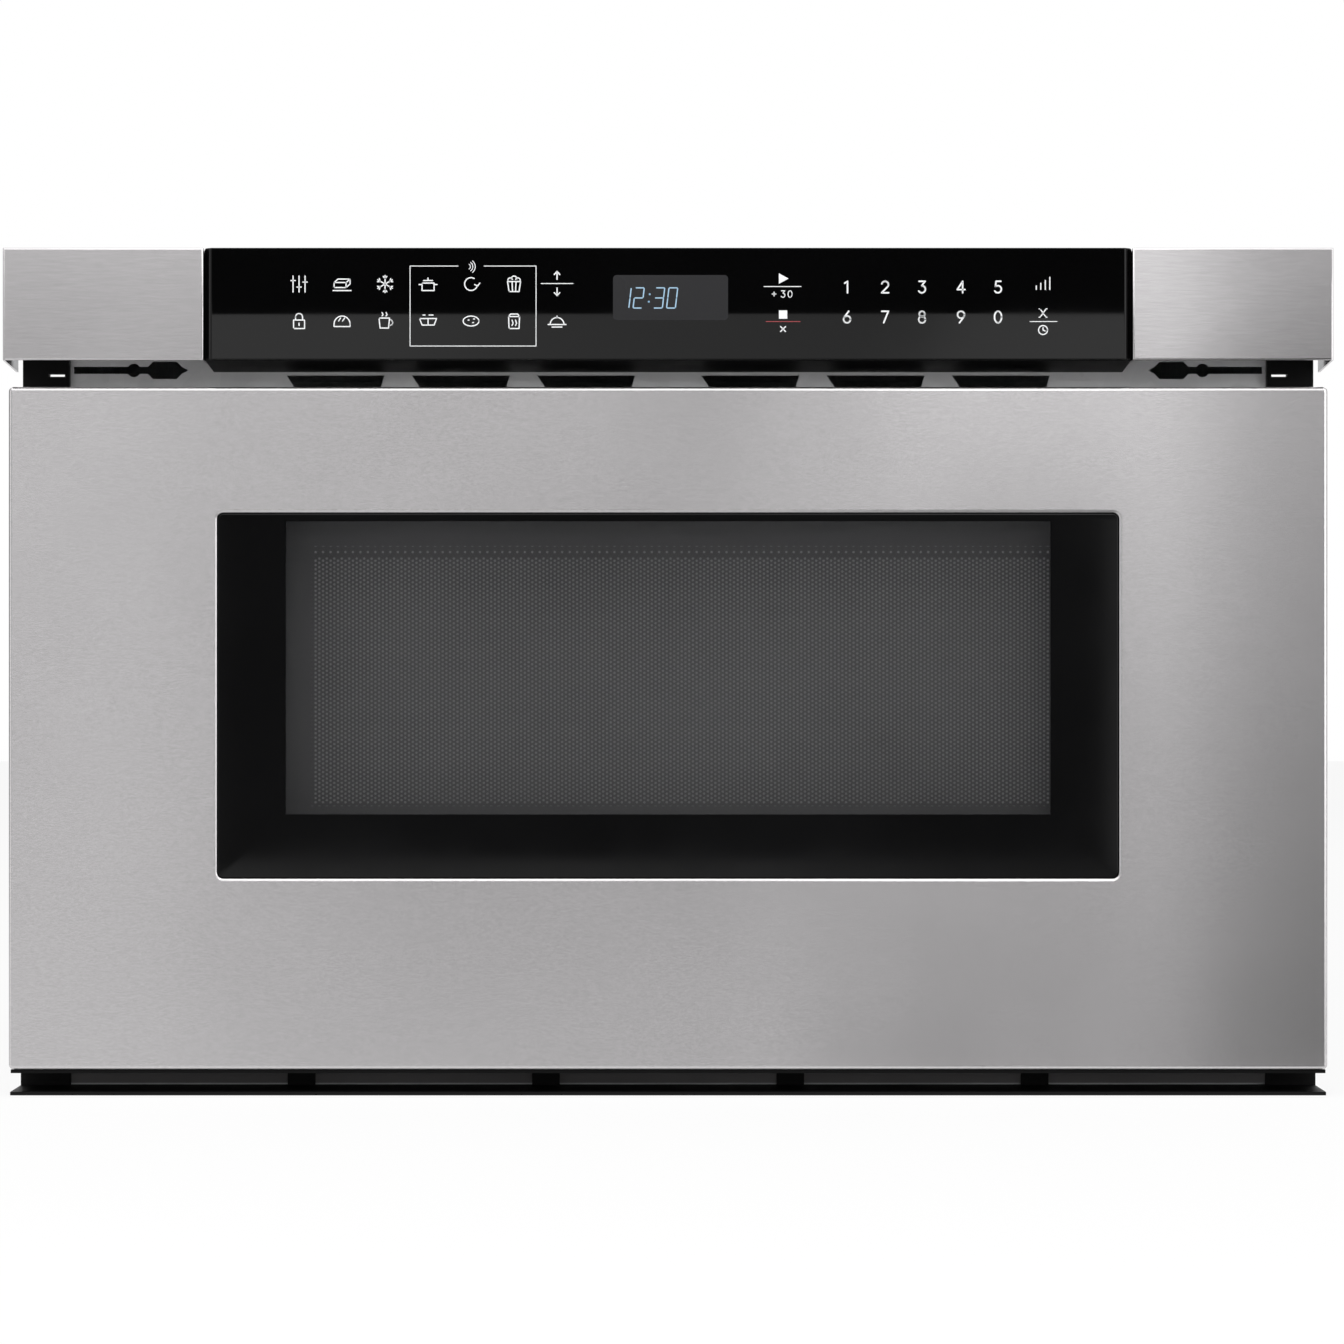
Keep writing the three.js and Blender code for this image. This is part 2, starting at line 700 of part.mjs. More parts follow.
// Carries air from the fan's bay up to the magnetron.
function airDuct() {
  const left = -118;
  const right = -43;
  const low = cavityTop - 60;
  const y0 = cavityEndY + clearance;
  const y1 = cavityEndY + 62;
  const outer = prismY(
    [
      [left, low],
      [left + 34, low],
      [right, cavityTop - 6],
      [right, cavityTop + 50],
      [left + 20, cavityTop + 50],
      [left, cavityTop + 20],
    ],
    y0,
    y1,
  );
  const inner = prismY(
    [
      [left + 1.2, low - past],
      [left + 32.6, low - past],
      [left + 32.8, low + 1],
      [right - 1.4, cavityTop - 5],
      [right + past, cavityTop - 5],
      [right + past, cavityTop + 48.8],
      [left + 20.8, cavityTop + 48.8],
      [left + 1.2, cavityTop + 19.4],
    ],
    y0 + 1.2,
    y1 - 1.2,
  );
  return cut(outer, inner);
}

const transformerX = 190;

function transformer() {
  const yMiddle = cavityEndY + 52;
  const block = (halfX, halfY, low, high, x = transformerX) =>
    box(x - halfX, x + halfX, yMiddle - halfY, yMiddle + halfY, baseSheet + low, baseSheet + high);
  const core = block(45, 24, 2, 78);
  const windings = block(27, 36, 16, 64);
  const foot = block(56, 28, 0, 2);
  const terminals = spread(4, 12, transformerX).map((x) => block(3, 0.6, 77, 90, x));
  return join(core, windings, foot, terminals);
}

const capacitorX = 80;
const capacitorRadius = 18;

function capacitorOutline(radius) {
  const shape = new THREE.Shape();
  const y = cavityEndY + 50;
  shape.absarc(capacitorX + 14, y, radius, -Math.PI / 2, Math.PI / 2);
  shape.absarc(capacitorX - 14, y, radius, Math.PI / 2, 1.5 * Math.PI);
  return shape;
}

function capacitor() {
  const can = prismZ(capacitorOutline(capacitorRadius), baseSheet + 2.3, baseSheet + 88);
  const y = cavityEndY + 50;
  const tabs = spread(2, 24, capacitorX).map((x) =>
    box(x - 3, x + 3, y - 0.6, y + 0.6, baseSheet + 87, baseSheet + 97),
  );
  return join(can, tabs);
}

function capacitorClamp() {
  const band = prismZ(capacitorOutline(capacitorRadius + 2.3), baseSheet + 2, baseSheet + 34);
  const inside = prismZ(capacitorOutline(capacitorRadius + clearance), baseSheet + 1, baseSheet + 40);
  const y = cavityEndY + 50;
  const foot = box(capacitorX - 44, capacitorX + 44, y - 20, y + 20, baseSheet, baseSheet + 2);
  return join(cut(band, inside), foot);
}

function noiseFilterBoard() {
  const y = plateBackY + 120;
  const x = 170;
  const board = box(x - 45, x + 45, y - 35, y + 35, cavityTop + 8, cavityTop + 9.6);
  const standoffs = spread(2, 80, x).flatMap((postX) =>
    spread(2, 60, y).map((postY) => rodZ(3, cavityTop, cavityTop + 8.5, postX, postY, 12)),
  );
  const coil = rodZ(13, cavityTop + 9, cavityTop + 30, x - 20, y, 24);
  const relay = box(x + 4, x + 30, y - 10, y + 8, cavityTop + 9, cavityTop + 26);
  const fuse = box(x - 35, x + 35, y + 20, y + 27, cavityTop + 9, cavityTop + 16);
  return join(board, standoffs, coil, relay, fuse);
}

// ---- Drawer front ----
const windowFace = drawerY + 0.5;

// A rounded rectangle between two heights, the same distance each side of x = 0.
const frontOutline = (half, low, high, radius) => roundedRectangle(-half, half, low, high, radius);

function drawerFrontSkin() {
  const endY = drawerY + skinReturn;
  const outer = prismY(frontOutline(drawerHalf, drawerBottom, drawerTop, skinCorner), drawerY, endY);
  const low = drawerBottom + skinSheet;
  const high = drawerTop - skinSheet;
  const innerOutline = frontOutline(drawerHalf - skinSheet, low, high, skinCorner - skinSheet);
  const inner = prismY(innerOutline, drawerY + skinSheet, endY + past);
  const edge = 0.4; // round the window glass
  const holeLow = windowLow - edge;
  const holeHigh = windowHigh + edge;
  const holeOutline = frontOutline(windowHalf + edge, holeLow, holeHigh, windowCorner + edge);
  const hole = prismY(holeOutline, drawerY - past, drawerY + skinSheet + past);
  return cut(outer, inner, hole);
}

function windowGlass() {
  const outline = frontOutline(windowHalf, windowLow, windowHigh, windowCorner);
  return prismY(outline, windowFace, windowFace + windowThickness);
}

// The window's opening through the inner frame, a little larger than the glass's clear area.
const viewMargin = 2;
const viewHalf = clearHalf + viewMargin;
const viewLow = clearLow - viewMargin;
const viewHigh = clearHigh + viewMargin;

function drawerInnerFrame() {
  const front = drawerY + skinSheet;
  const outline = frontOutline(frameHalf, frameLow, frameHigh, skinCorner - skinSheet);
  const outer = prismY(outline, front, frameBackY);
  const innerHalf = frameHalf - frameSheet;
  const innerLow = frameLow + frameSheet;
  const hollow = wideBox(innerHalf, front - past, frameBackY - frameSheet, innerLow, frameHigh - frameSheet);
  const tunnelHalf = viewHalf + frameSheet;
  const tunnelFront = windowFace + windowThickness;
  const tunnel = wideBox(tunnelHalf, tunnelFront, frameBackY, viewLow - frameSheet, viewHigh + frameSheet);
  const view = wideBox(viewHalf, front - past, frameBackY + past, viewLow, viewHigh);
  return cut(join(cut(outer, hollow), tunnel), view);
}

const screenHalf = viewHalf + screenLap;
const screenLow = viewLow - screenLap;
const screenHigh = viewHigh + screenLap;
const screenSheet = 0.8;
const barrierSheet = 0.6;

const screenBackY = frameBackY + screenSheet;
const windowScreen = () => wideBox(screenHalf, frameBackY, screenBackY, screenLow, screenHigh);
const barrier = () => wideBox(screenHalf, screenBackY, screenBackY + barrierSheet, screenLow, screenHigh);

function chokeCover() {
  const inside = 0.5;
  const outerHalf = panHalf + chokeLap;
  const high = Math.max(panTop, screenHigh) + inside;
  const ring = wideBox(outerHalf, frameBackY, frameBackY + chokeThickness, rackTop + 2, high + 16);
  const endY = frameBackY + chokeThickness + past;
  const hole = wideBox(panHalf + inside, frameBackY - past, endY, panBottom - inside, high);
  return cut(ring, hole);
}

function drawerPan() {
  const outer = wideBox(panHalf, frameBackY, panEndY, panBottom, panTop);
  const floor = panBottom + panSheet;
  const inner = wideBox(panHalf - panSheet, frameBackY - past, panEndY - panSheet, floor, panTop + past);
  return cut(outer, inner);
}

function panGlide(side) {
  const x = side * (panHalf - 26);
  return box(x - 6, x + 6, plateBackY + 8, panEndY - 4, cavityFloor + clearance, panBottom);
}

function latchHook(side) {
  const x = side * hookX;
  const outline = [
    [frameBackY, hookLow],
    [plateBackY + 22, hookLow],
    [plateBackY + 22, hookLow + 5],
    [plateBackY + 16, hookLow + 9],
    [plateBackY + 12, hookLow + 6],
    [frameBackY + 4, hookHigh - 3],
    [frameBackY, hookHigh],
  ];
  return prismX(outline, x - hookHalf, x + hookHalf);
}

// ---- Interlocks ----
const plungerY = plateBackY + 24;
const plungerRadius = 2;

function interlockSwitch(side) {
  const x = side * hookX;
  const body = box(x - 6, x + 6, plungerY + 4, plungerY + 22, hookLow - 6, hookHigh + 14);
  const bracket = box(x - 6, x + 6, plateBackY, plungerY + 22, hookHigh + 5, hookHigh + 14);
  const bore = rodY(plungerRadius + clearance, plungerY - past, plungerY + 14, x, hookLow + 3, 12);
  return cut(join(body, bracket), bore);
}

const interlockPlunger = (side) =>
  rodY(plungerRadius, plateBackY + 22 + clearance, plungerY + 13, side * hookX, hookLow + 3, 12);

// ---- Slides: three nested channels a side ----
// One channel, its web on the outboard side, as an outline in x (inboard to outboard) and z.
function channel(side, webX, lipX, low, high, sheet) {
  const outline = [
    [webX, low],
    [webX, high],
    [lipX, high],
    [lipX, high - sheet],
    [webX - sheet, high - sheet],
    [webX - sheet, low + sheet],
    [lipX, low + sheet],
    [lipX, low],
  ];
  return outline.map(([x, z]) => [side * x, z]);
}

const nest = slideSheet + 0.35; // step from one channel to the next

function slideMember(side, level, y0, y1) {
  const low = slideBottom + level * nest;
  const high = slideTop - level * nest;
  const webX = slideOuterX - level * nest;
  return prismY(channel(side, webX, slideInnerX, low, high, slideSheet), y0, y1);
}

const slideFrontY = plateBackY + clearance;
const slideRearY = slideFrontY + slideLength;
const slideOuter = (side) => slideMember(side, 0, slideFrontY, slideRearY);
const slideMiddle = (side) => slideMember(side, 1, slideFrontY, slideRearY - 4);
const slideInner = (side) => slideMember(side, 2, frameBackY, slideRearY - 8);

// ---- Powered opening ----
const toothPitch = Math.PI * toothModule;

function driveRack() {
  const rearY = pinionY + travel + rackBeyondTravel;
  const flank = Math.tan(pressureAngle);
  const halfAtPitch = toothPitch / 4 - backlash / 2;
  const tipZ = rackPitchZ - rackAddendum;
  const rootDepth = rackRootZ - rackPitchZ;
  const outline = [[frameBackY, rackRootZ]];
  const firstTooth = Math.ceil((plateBackY + 6 - pinionY) / toothPitch - 0.5);
  for (let k = firstTooth; ; k++) {
    const y = pinionY + (k + 0.5) * toothPitch;
    if (y + toothPitch / 2 > rearY) break;
    outline.push([y - halfAtPitch - rootDepth * flank, rackRootZ]);
    outline.push([y - halfAtPitch + rackAddendum * flank, tipZ]);
    outline.push([y + halfAtPitch - rackAddendum * flank, tipZ]);
    outline.push([y + halfAtPitch + rootDepth * flank, rackRootZ]);
  }
  outline.push([rearY, rackRootZ], [rearY, rackTop], [frameBackY, rackTop]);
  return prismX(outline, -rackWidth / 2, rackWidth / 2);
}

// Involute pinion outline with a tooth pointing up.
function pinionOutline() {
  const base = pitchRadius * Math.cos(pressureAngle);
  const root = pitchRadius - 1.25 * toothModule;
  const tip = pitchRadius + 0.9 * toothModule;
  const involute = (angle) => Math.tan(angle) - angle;
  const halfTooth = Math.PI / (2 * pinionTeeth) - backlash / 2 / pitchRadius + involute(pressureAngle);
  const points = [];
  const polar = (radius, angle) => {
    points.push([pinionY + radius * Math.sin(angle), pinionAxisZ + radius * Math.cos(angle)]);
  };
  for (let i = 0; i < pinionTeeth; i++) {
    const middle = (i * 2 * Math.PI) / pinionTeeth;
    const radii = [root, base, ...[1, 2, 3].map((step) => base + ((tip - base) * step) / 3)];
    const angleAt = (radius) => halfTooth - (radius > base ? involute(Math.acos(base / radius)) : 0);
    for (const radius of radii) polar(radius, middle - angleAt(radius));
    for (const radius of [...radii].reverse()) polar(radius, middle + angleAt(radius));
  }
  return points;
}

const bearingX = -12;

function drivePinion() {
  const wheel = prismX(pinionOutline(), -rackWidth / 2 + 1, rackWidth / 2 - 1);
  const shaft = rodX(shaftRadius, bearingX - 3, 24, pinionY, pinionAxisZ, 16);
  return join(wheel, shaft);
}

function pinionBearing() {
  const wall = box(bearingX - 3, bearingX, pinionY - 14, pinionY + 14, baseSheet, pinionAxisZ + 10);
  const foot = box(bearingX - 22, bearingX, pinionY - 14, pinionY + 14, baseSheet, baseSheet + 2);
  const bore = rodX(shaftRadius + shaftClearance, bearingX - 10, bearingX + 10, pinionY, pinionAxisZ, 16);
  return cut(join(wall, foot), bore);
}

function driveMotor() {
  const gearbox = box(14, 46, pinionY - 22, pinionY + 22, baseSheet, pinionAxisZ + 24);
  const can = rodX(17, 45, 100, pinionY, pinionAxisZ, 32);
  const cap = rodX(9, 100, 105, pinionY, pinionAxisZ, 24);
  const bore = rodX(shaftRadius + shaftClearance, 10, 26, pinionY, pinionAxisZ, 16);
  return cut(join(gearbox, can, cap), bore);
}

// ---- The object ----
piece("chassis", "base_pan", basePan(), galvanised);
piece("chassis", "outer_cabinet", outerCabinet(), galvanised);
piece("chassis", "rear_cover", rearCover(), galvanised);
piece("chassis", "cord_gland", cordGland(), blackPlastic);
piece("chassis", "front_frame", frontFrame(), galvanised);
piece("chassis", "lower_vent_trim", lowerVentTrim(), blackPlastic);

piece("control_panel", "control_housing", controlHousing(), blackPlastic);
piece("control_panel", "touch_glass", touchGlass(), blackGlass);
piece("control_panel", "display_module", displayModule(), displayBlue);
piece("control_panel", "control_board", controlBoard(), circuitGreen);

piece("cavity", "cavity_liner", cavityLiner(), enamel);
piece("cavity", "stirrer_cover", stirrerCover(), whitePlastic);
piece("cavity", "waveguide", waveguide(), galvanised);
piece("cavity", "stirrer_motor", stirrerMotor(), galvanised);
piece("cavity", "magnetron", magnetron(), galvanised);
piece("cavity", "thermal_cutout", thermalCutout(), blackPlastic);
piece("cavity", "oven_lamp", ovenLamp(), whitePlastic);

piece("services", "fan_housing", fanHousing(), blackPlastic);
piece("services", "fan_motor", fanMotor(), galvanised);
piece("services", "air_duct", airDuct(), blackPlastic);
piece("services", "transformer", transformer(), copperBrown);
piece("services", "capacitor", capacitor(), galvanised);
piece("services", "capacitor_clamp", capacitorClamp(), galvanised);
piece("services", "noise_filter_board", noiseFilterBoard(), circuitGreen);
piece("services", "drive_motor", driveMotor(), galvanised);
piece("services", "pinion_bearing", pinionBearing(), galvanised);

piece("turning", "stirrer_fan", stirrerFan(), galvanised);
piece("turning", "fan_blade", fanBlade(), blackPlastic);
piece("turning", "drive_pinion", drivePinion(), whitePlastic);

piece("drawer", "drawer_front_skin", drawerFrontSkin(), brushedSteel);
piece("drawer", "drawer_inner_frame", drawerInnerFrame(), blackPlastic);
piece("drawer", "window_glass", windowGlass(), blackGlass);
piece("drawer", "window_screen", windowScreen(), blackPlastic);
piece("drawer", "barrier_sheet", barrier(), clearFilm);
piece("drawer", "choke_cover", chokeCover(), blackPlastic);
piece("drawer", "drawer_pan", drawerPan(), enamel);
piece("drawer", "drive_rack", driveRack(), whitePlastic);

for (const [word, side] of SIDES) {
  piece("control_panel", "end_trim_" + word, endTrim(side), brushedSteel);
  piece("chassis", "side_post_" + word, sidePost(side), blackPlastic);
  piece("drawer", "pan_glide_" + word, panGlide(side), whitePlastic);
  piece("drawer", "latch_hook_" + word, latchHook(side), whitePlastic);
  piece("interlocks", "interlock_switch_" + word, interlockSwitch(side), blackPlastic);
  piece("interlocks", "interlock_plunger_" + word, interlockPlunger(side), whitePlastic);
  piece("slides", "slide_outer_" + word, slideOuter(side), galvanised);
  piece("slides", "slide_middle_" + word, slideMiddle(side), galvanised);
  piece("slides", "slide_inner_" + word, slideInner(side), galvanised);
}

export default object;
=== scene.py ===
"""Built-in microwave drawer: its looks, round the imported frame. Blender 4.5, metres, Z up."""

import json
import math

import bmesh
import bpy
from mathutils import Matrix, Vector


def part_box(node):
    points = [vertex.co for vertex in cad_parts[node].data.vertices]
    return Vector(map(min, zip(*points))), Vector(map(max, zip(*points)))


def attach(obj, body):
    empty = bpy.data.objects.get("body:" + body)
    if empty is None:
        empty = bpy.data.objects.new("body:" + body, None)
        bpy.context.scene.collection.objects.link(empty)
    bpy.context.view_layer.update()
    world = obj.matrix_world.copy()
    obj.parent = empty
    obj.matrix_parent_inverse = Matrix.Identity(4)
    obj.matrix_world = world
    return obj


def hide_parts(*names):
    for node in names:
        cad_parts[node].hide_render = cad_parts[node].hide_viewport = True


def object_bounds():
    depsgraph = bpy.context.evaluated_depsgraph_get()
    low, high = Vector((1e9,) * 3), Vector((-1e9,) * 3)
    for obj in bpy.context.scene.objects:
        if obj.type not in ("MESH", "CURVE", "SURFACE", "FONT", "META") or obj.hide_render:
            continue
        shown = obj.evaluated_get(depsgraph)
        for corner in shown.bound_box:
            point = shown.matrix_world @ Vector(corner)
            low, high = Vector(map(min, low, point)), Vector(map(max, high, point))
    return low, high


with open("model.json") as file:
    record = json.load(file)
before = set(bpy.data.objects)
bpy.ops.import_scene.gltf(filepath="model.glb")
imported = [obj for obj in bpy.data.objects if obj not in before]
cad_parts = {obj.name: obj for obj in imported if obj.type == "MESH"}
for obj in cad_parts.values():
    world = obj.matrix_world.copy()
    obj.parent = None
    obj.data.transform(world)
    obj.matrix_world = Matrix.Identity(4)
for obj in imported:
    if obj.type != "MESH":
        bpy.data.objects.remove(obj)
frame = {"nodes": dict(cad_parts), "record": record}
cad_low, cad_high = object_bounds()
nodes = frame["nodes"]
body_of = {
    name: body for body, names in frame["record"]["behaviour"]["bodies"].items() for name in names
}
scene = bpy.context.scene
MM = 0.001
SQUARE = ((-1, -1), (1, -1), (1, 1), (-1, 1))


# ---- Camera: straight ahead of the front, which fills the picture's width ----
FRONT_Y = cad_low.y
PHOTO_WIDTH = 1344
PHOTO_PIXEL = 0.4556 * MM  # one pixel of the picture, at the front plane
MIDDLE_PX, FLOOR_PY = 668, 1098  # the pixel of x = 0 and z = 0 at the front plane
PICTURE_X, PICTURE_Z = 1.8 * MM, 194.1 * MM  # what the middle of the picture shows
CAMERA_DISTANCE = 2.2
SENSOR = 36
camera_data = bpy.data.cameras.new("camera")
camera_data.sensor_width = SENSOR
camera_data.lens = SENSOR * CAMERA_DISTANCE / (PHOTO_WIDTH * PHOTO_PIXEL)
camera = bpy.data.objects.new("camera", camera_data)
camera.location = (PICTURE_X, FRONT_Y - CAMERA_DISTANCE, PICTURE_Z)
camera.rotation_euler = (math.pi / 2, 0, 0)
scene.collection.objects.link(camera)
scene.camera = camera


def photo_point(px, py):
    """The x and z, in metres, of a point of the front plane, from its pixel in the picture."""
    return (px - MIDDLE_PX) * PHOTO_PIXEL, (FLOOR_PY - py) * PHOTO_PIXEL


# ---- Materials ----
def link(tree, start, end):
    """Joins one node's output to another's input."""
    tree.links.new(start, end)


def new_material(name):
    """A node material, with its tree and its shader."""
    material = bpy.data.materials.new(name)
    material.use_nodes = True
    tree = material.node_tree
    return material, tree, tree.nodes["Principled BSDF"]


def noise(tree, scale, stretch=(1, 1, 1), detail=3, roughness=0.5):
    """Noise in the object's own metres, stretched by stretch; returns its value socket."""
    place = tree.nodes.new("ShaderNodeTexCoord")
    mapping = tree.nodes.new("ShaderNodeMapping")
    mapping.inputs["Scale"].default_value = stretch
    texture = tree.nodes.new("ShaderNodeTexNoise")
    texture.inputs["Scale"].default_value = scale
    texture.inputs["Detail"].default_value = detail
    texture.inputs["Roughness"].default_value = roughness
    link(tree, place.outputs["Object"], mapping.inputs["Vector"])
    link(tree, mapping.outputs["Vector"], texture.inputs["Vector"])
    return texture.outputs["Fac"]


def ramp(tree, value, stops):
    """value through a colour ramp of (position, colour) stops."""
    node = tree.nodes.new("ShaderNodeValToRGB")
    elements = node.color_ramp.elements
    while len(elements) < len(stops):
        elements.new(0.5)
    for element, (position, colour) in zip(elements, stops):
        element.position = position
        element.color = (*colour[:3], 1)
    link(tree, value, node.inputs["Fac"])
    return node.outputs["Color"]


def span(tree, value, low, high, start=0.3, end=0.7):
    """value, from start to end, spread over low to high."""
    node = tree.nodes.new("ShaderNodeMapRange")
    node.inputs["From Min"].default_value = start
    node.inputs["From Max"].default_value = end
    node.inputs["To Min"].default_value = low
    node.inputs["To Max"].default_value = high
    link(tree, value, node.inputs["Value"])
    return node.outputs["Result"]


def bump(tree, shader, height, distance, strength=1.0):
    """Relief, distance metres deep, from a value."""
    node = tree.nodes.new("ShaderNodeBump")
    node.inputs["Strength"].default_value = strength
    node.inputs["Distance"].default_value = distance
    link(tree, height, node.inputs["Height"])
    link(tree, node.outputs["Normal"], shader.inputs["Normal"])


def shade(colour, factor):
    """The colour made lighter or darker."""
    return tuple(channel * factor for channel in colour[:3])


def surface(
    name,
    colour,
    roughness,
    metallic=0.0,
    tone=0.06,
    tone_scale=9,
    grain_scale=900,
    grain=0.00002,
    roughness_span=0.05,
    specular=0.5,
):
    """A material with mottled colour, uneven gloss and a fine grain."""
    material, tree, shader = new_material(name)
    shader.inputs["Metallic"].default_value = metallic
    shader.inputs["Specular IOR Level"].default_value = specular
    cloud = noise(tree, tone_scale)
    stops = [(0.3, shade(colour, 1 - tone)), (0.7, shade(colour, 1 + tone))]
    link(tree, ramp(tree, cloud, stops), shader.inputs["Base Color"])
    wear = noise(tree, tone_scale * 2.3, detail=5)
    gloss = span(tree, wear, roughness - roughness_span, roughness + roughness_span)
    link(tree, gloss, shader.inputs["Roughness"])
    if grain:
        bump(tree, shader, noise(tree, grain_scale, detail=2), grain)
    return material


LINES_ACROSS = 2400  # how fine the brushed lines are across their run
LINE_DARK, LINE_BRIGHT = 0.38, 0.62  # noise at which a line is darkest and brightest
SCRATCHES, SCRATCH_DEPTH = (60, 60, 3000), 0.000003
SATIN_SPREAD = 0.015  # how far the roughness strays


def brushed(name, colour, roughness, line, length):
    """Satin steel brushed along x: faint lines, and a reflection drawn out across them.

    line is how much the lines differ in tone, and length how often they change along their run.
    """
    material, tree, shader = new_material(name)
    shader.inputs["Metallic"].default_value = 1
    shader.inputs["Anisotropic"].default_value = 1
    # Across the lines: upright on the front and the sides, front to back on the top.
    facing = tree.nodes.new("ShaderNodeNewGeometry")
    cross = tree.nodes.new("ShaderNodeVectorMath")
    cross.operation = "CROSS_PRODUCT"
    cross.inputs[1].default_value = (1, 0, 0)
    raised = tree.nodes.new("ShaderNodeVectorMath")
    raised.operation = "ADD"
    raised.inputs[1].default_value = (0, 0, 0.5)
    link(tree, facing.outputs["Normal"], cross.inputs[0])
    link(tree, cross.outputs["Vector"], raised.inputs[0])
    link(tree, raised.outputs["Vector"], shader.inputs["Tangent"])
    lines = noise(tree, 1, (length, length, LINES_ACROSS), detail=5, roughness=0.75)
    stops = [(LINE_DARK, shade(colour, 1 - line)), (LINE_BRIGHT, shade(colour, 1 + line))]
    link(tree, ramp(tree, lines, stops), shader.inputs["Base Color"])
    smear = noise(tree, 6, detail=4)
    gloss = span(tree, smear, roughness - SATIN_SPREAD, roughness + SATIN_SPREAD)
    link(tree, gloss, shader.inputs["Roughness"])
    bump(tree, shader, noise(tree, 1, SCRATCHES, detail=2), SCRATCH_DEPTH)
    return material


CRYSTALS = 110  # across a metre
WAVES, WAVE_DEPTH, WAVE_STRENGTH = 14, 0.0004, 0.35
ZINC_SPREAD = 0.06


def galvanised(name, colour, roughness, spangle=0.05, metallic=1.0):
    """Zinc-coated sheet with its faint crystal spangle."""
    material, tree, shader = new_material(name)
    shader.inputs["Metallic"].default_value = metallic
    place = tree.nodes.new("ShaderNodeTexCoord")
    cells = tree.nodes.new("ShaderNodeTexVoronoi")
    cells.inputs["Scale"].default_value = CRYSTALS
    link(tree, place.outputs["Object"], cells.inputs["Vector"])
    split = tree.nodes.new("ShaderNodeSeparateColor")
    link(tree, cells.outputs["Color"], split.inputs["Color"])
    crystal = split.outputs["Red"]
    stops = [(0.0, shade(colour, 1 - spangle)), (1.0, shade(colour, 1 + spangle))]
    link(tree, ramp(tree, crystal, stops), shader.inputs["Base Color"])
    low, high = roughness - ZINC_SPREAD, roughness + ZINC_SPREAD
    link(tree, span(tree, split.outputs["Green"], low, high, 0, 1), shader.inputs["Roughness"])
    bump(tree, shader, noise(tree, WAVES), WAVE_DEPTH, WAVE_STRENGTH)
    return material


def pane(name, colour, alpha):
    """Smoked glass that lets part of the light and the view through."""
    material, tree, shader = new_material(name)
    shader.inputs["Alpha"].default_value = alpha
    shader.inputs["Specular IOR Level"].default_value = 0.3
    haze = noise(tree, 12, detail=4)
    stops = [(0.3, shade(colour, 0.8)), (0.7, shade(colour, 1.2))]
    link(tree, ramp(tree, haze, stops), shader.inputs["Base Color"])
    link(tree, span(tree, haze, 0.03, 0.07), shader.inputs["Roughness"])
    return material


def glowing(name, colour, strength):
    """A lit segment of the display, a little uneven along its length."""
    material, tree, shader = new_material(name)
    shader.inputs["Base Color"].default_value = (*shade(colour, 0.3), 1)
    uneven = noise(tree, 700, detail=1)
    stops = [(0.3, shade(colour, 0.85)), (0.7, colour)]
    link(tree, ramp(tree, uneven, stops), shader.inputs["Emission Color"])
    shader.inputs["Emission Strength"].default_value = strength
    return material


STEEL = brushed("satin_steel", (0.61, 0.595, 0.602), 0.2, 0.06, 600)
TRIM_STEEL = brushed("satin_steel_trim", (0.575, 0.561, 0.568), 0.17, 0.045, 130)
GALVANISED = galvanised("zinc_sheet", (0.54, 0.555, 0.56), 0.42)
# The front plate: the zinc sheet made lighter, as painted light that makes up for the shade of its
# strip recessed behind the drawer and the panel.
LIT_PLATE_ZINC = galvanised("zinc_front_plate_painted_light", (0.72, 0.72, 0.725), 0.45, 0.03, 0.75)
BLACK_GLASS = surface(
    "panel_glass", (0.0012, 0.0012, 0.0013), 0.05,
    tone=0.2, roughness_span=0.015, grain=0, specular=0.25,
)
WINDOW_BORDER = surface(
    "window_print", (0.004, 0.004, 0.0042), 0.06,
    tone=0.2, roughness_span=0.02, grain=0, specular=0.25,
)
WINDOW_CLEAR = pane("window_glass_clear", (0.01, 0.01, 0.011), 0.25)
BLACK_PLASTIC = surface("black_plastic", (0.011, 0.011, 0.0115), 0.5, tone=0.12, grain=0.00003)
TRIM_BLACK = surface(
    "black_paint", (0.004, 0.004, 0.0042), 0.5, tone=0.12, grain=0.00001, specular=0.1
)
# Painted shade: a dark grey for the foot of the front plate, standing for the shade behind the vent
# trim's slots.
SHADE_PLATE_FOOT = surface("plate_foot_painted_shade", (0.11, 0.106, 0.107), 0.5, tone=0.15, specular=0.2)
WHITE_PLASTIC = surface("white_plastic", (0.78, 0.78, 0.74), 0.45, tone=0.03)
SCREEN_PAINT = surface(
    "screen_paint", (0.155, 0.155, 0.157), 0.55, tone=0.06, grain=0.00001, specular=0.2
)
FILM = surface("barrier_film", (0.62, 0.62, 0.62), 0.4, tone=0.05, grain=0)
ENAMEL = surface("grey_enamel", (0.55, 0.55, 0.53), 0.34, tone=0.02, grain_scale=350, grain=0.00004)
CIRCUIT = surface("circuit_laminate", (0.02, 0.13, 0.05), 0.4, tone=0.2, tone_scale=90)
WINDING = surface(
    "varnished_winding", (0.2, 0.085, 0.04), 0.4, tone=0.25, tone_scale=220, grain_scale=500
)
DISPLAY = surface("display_glass", (0.0255, 0.0255, 0.027), 0.25, tone=0.1, grain=0, specular=0.1)
LEGEND = surface("white_print", (0.82, 0.83, 0.84), 0.6, tone=0.02, tone_scale=300, grain=0)
LEGEND_RED = surface("red_print", (0.30, 0.03, 0.035), 0.6, tone=0.05, tone_scale=300, grain=0)
SEGMENT = glowing("lit_segment", (0.34, 0.53, 0.70), 0.85)
SCREW = surface("zinc_screw", (0.5, 0.5, 0.48), 0.35, 1.0, tone=0.08, tone_scale=60)

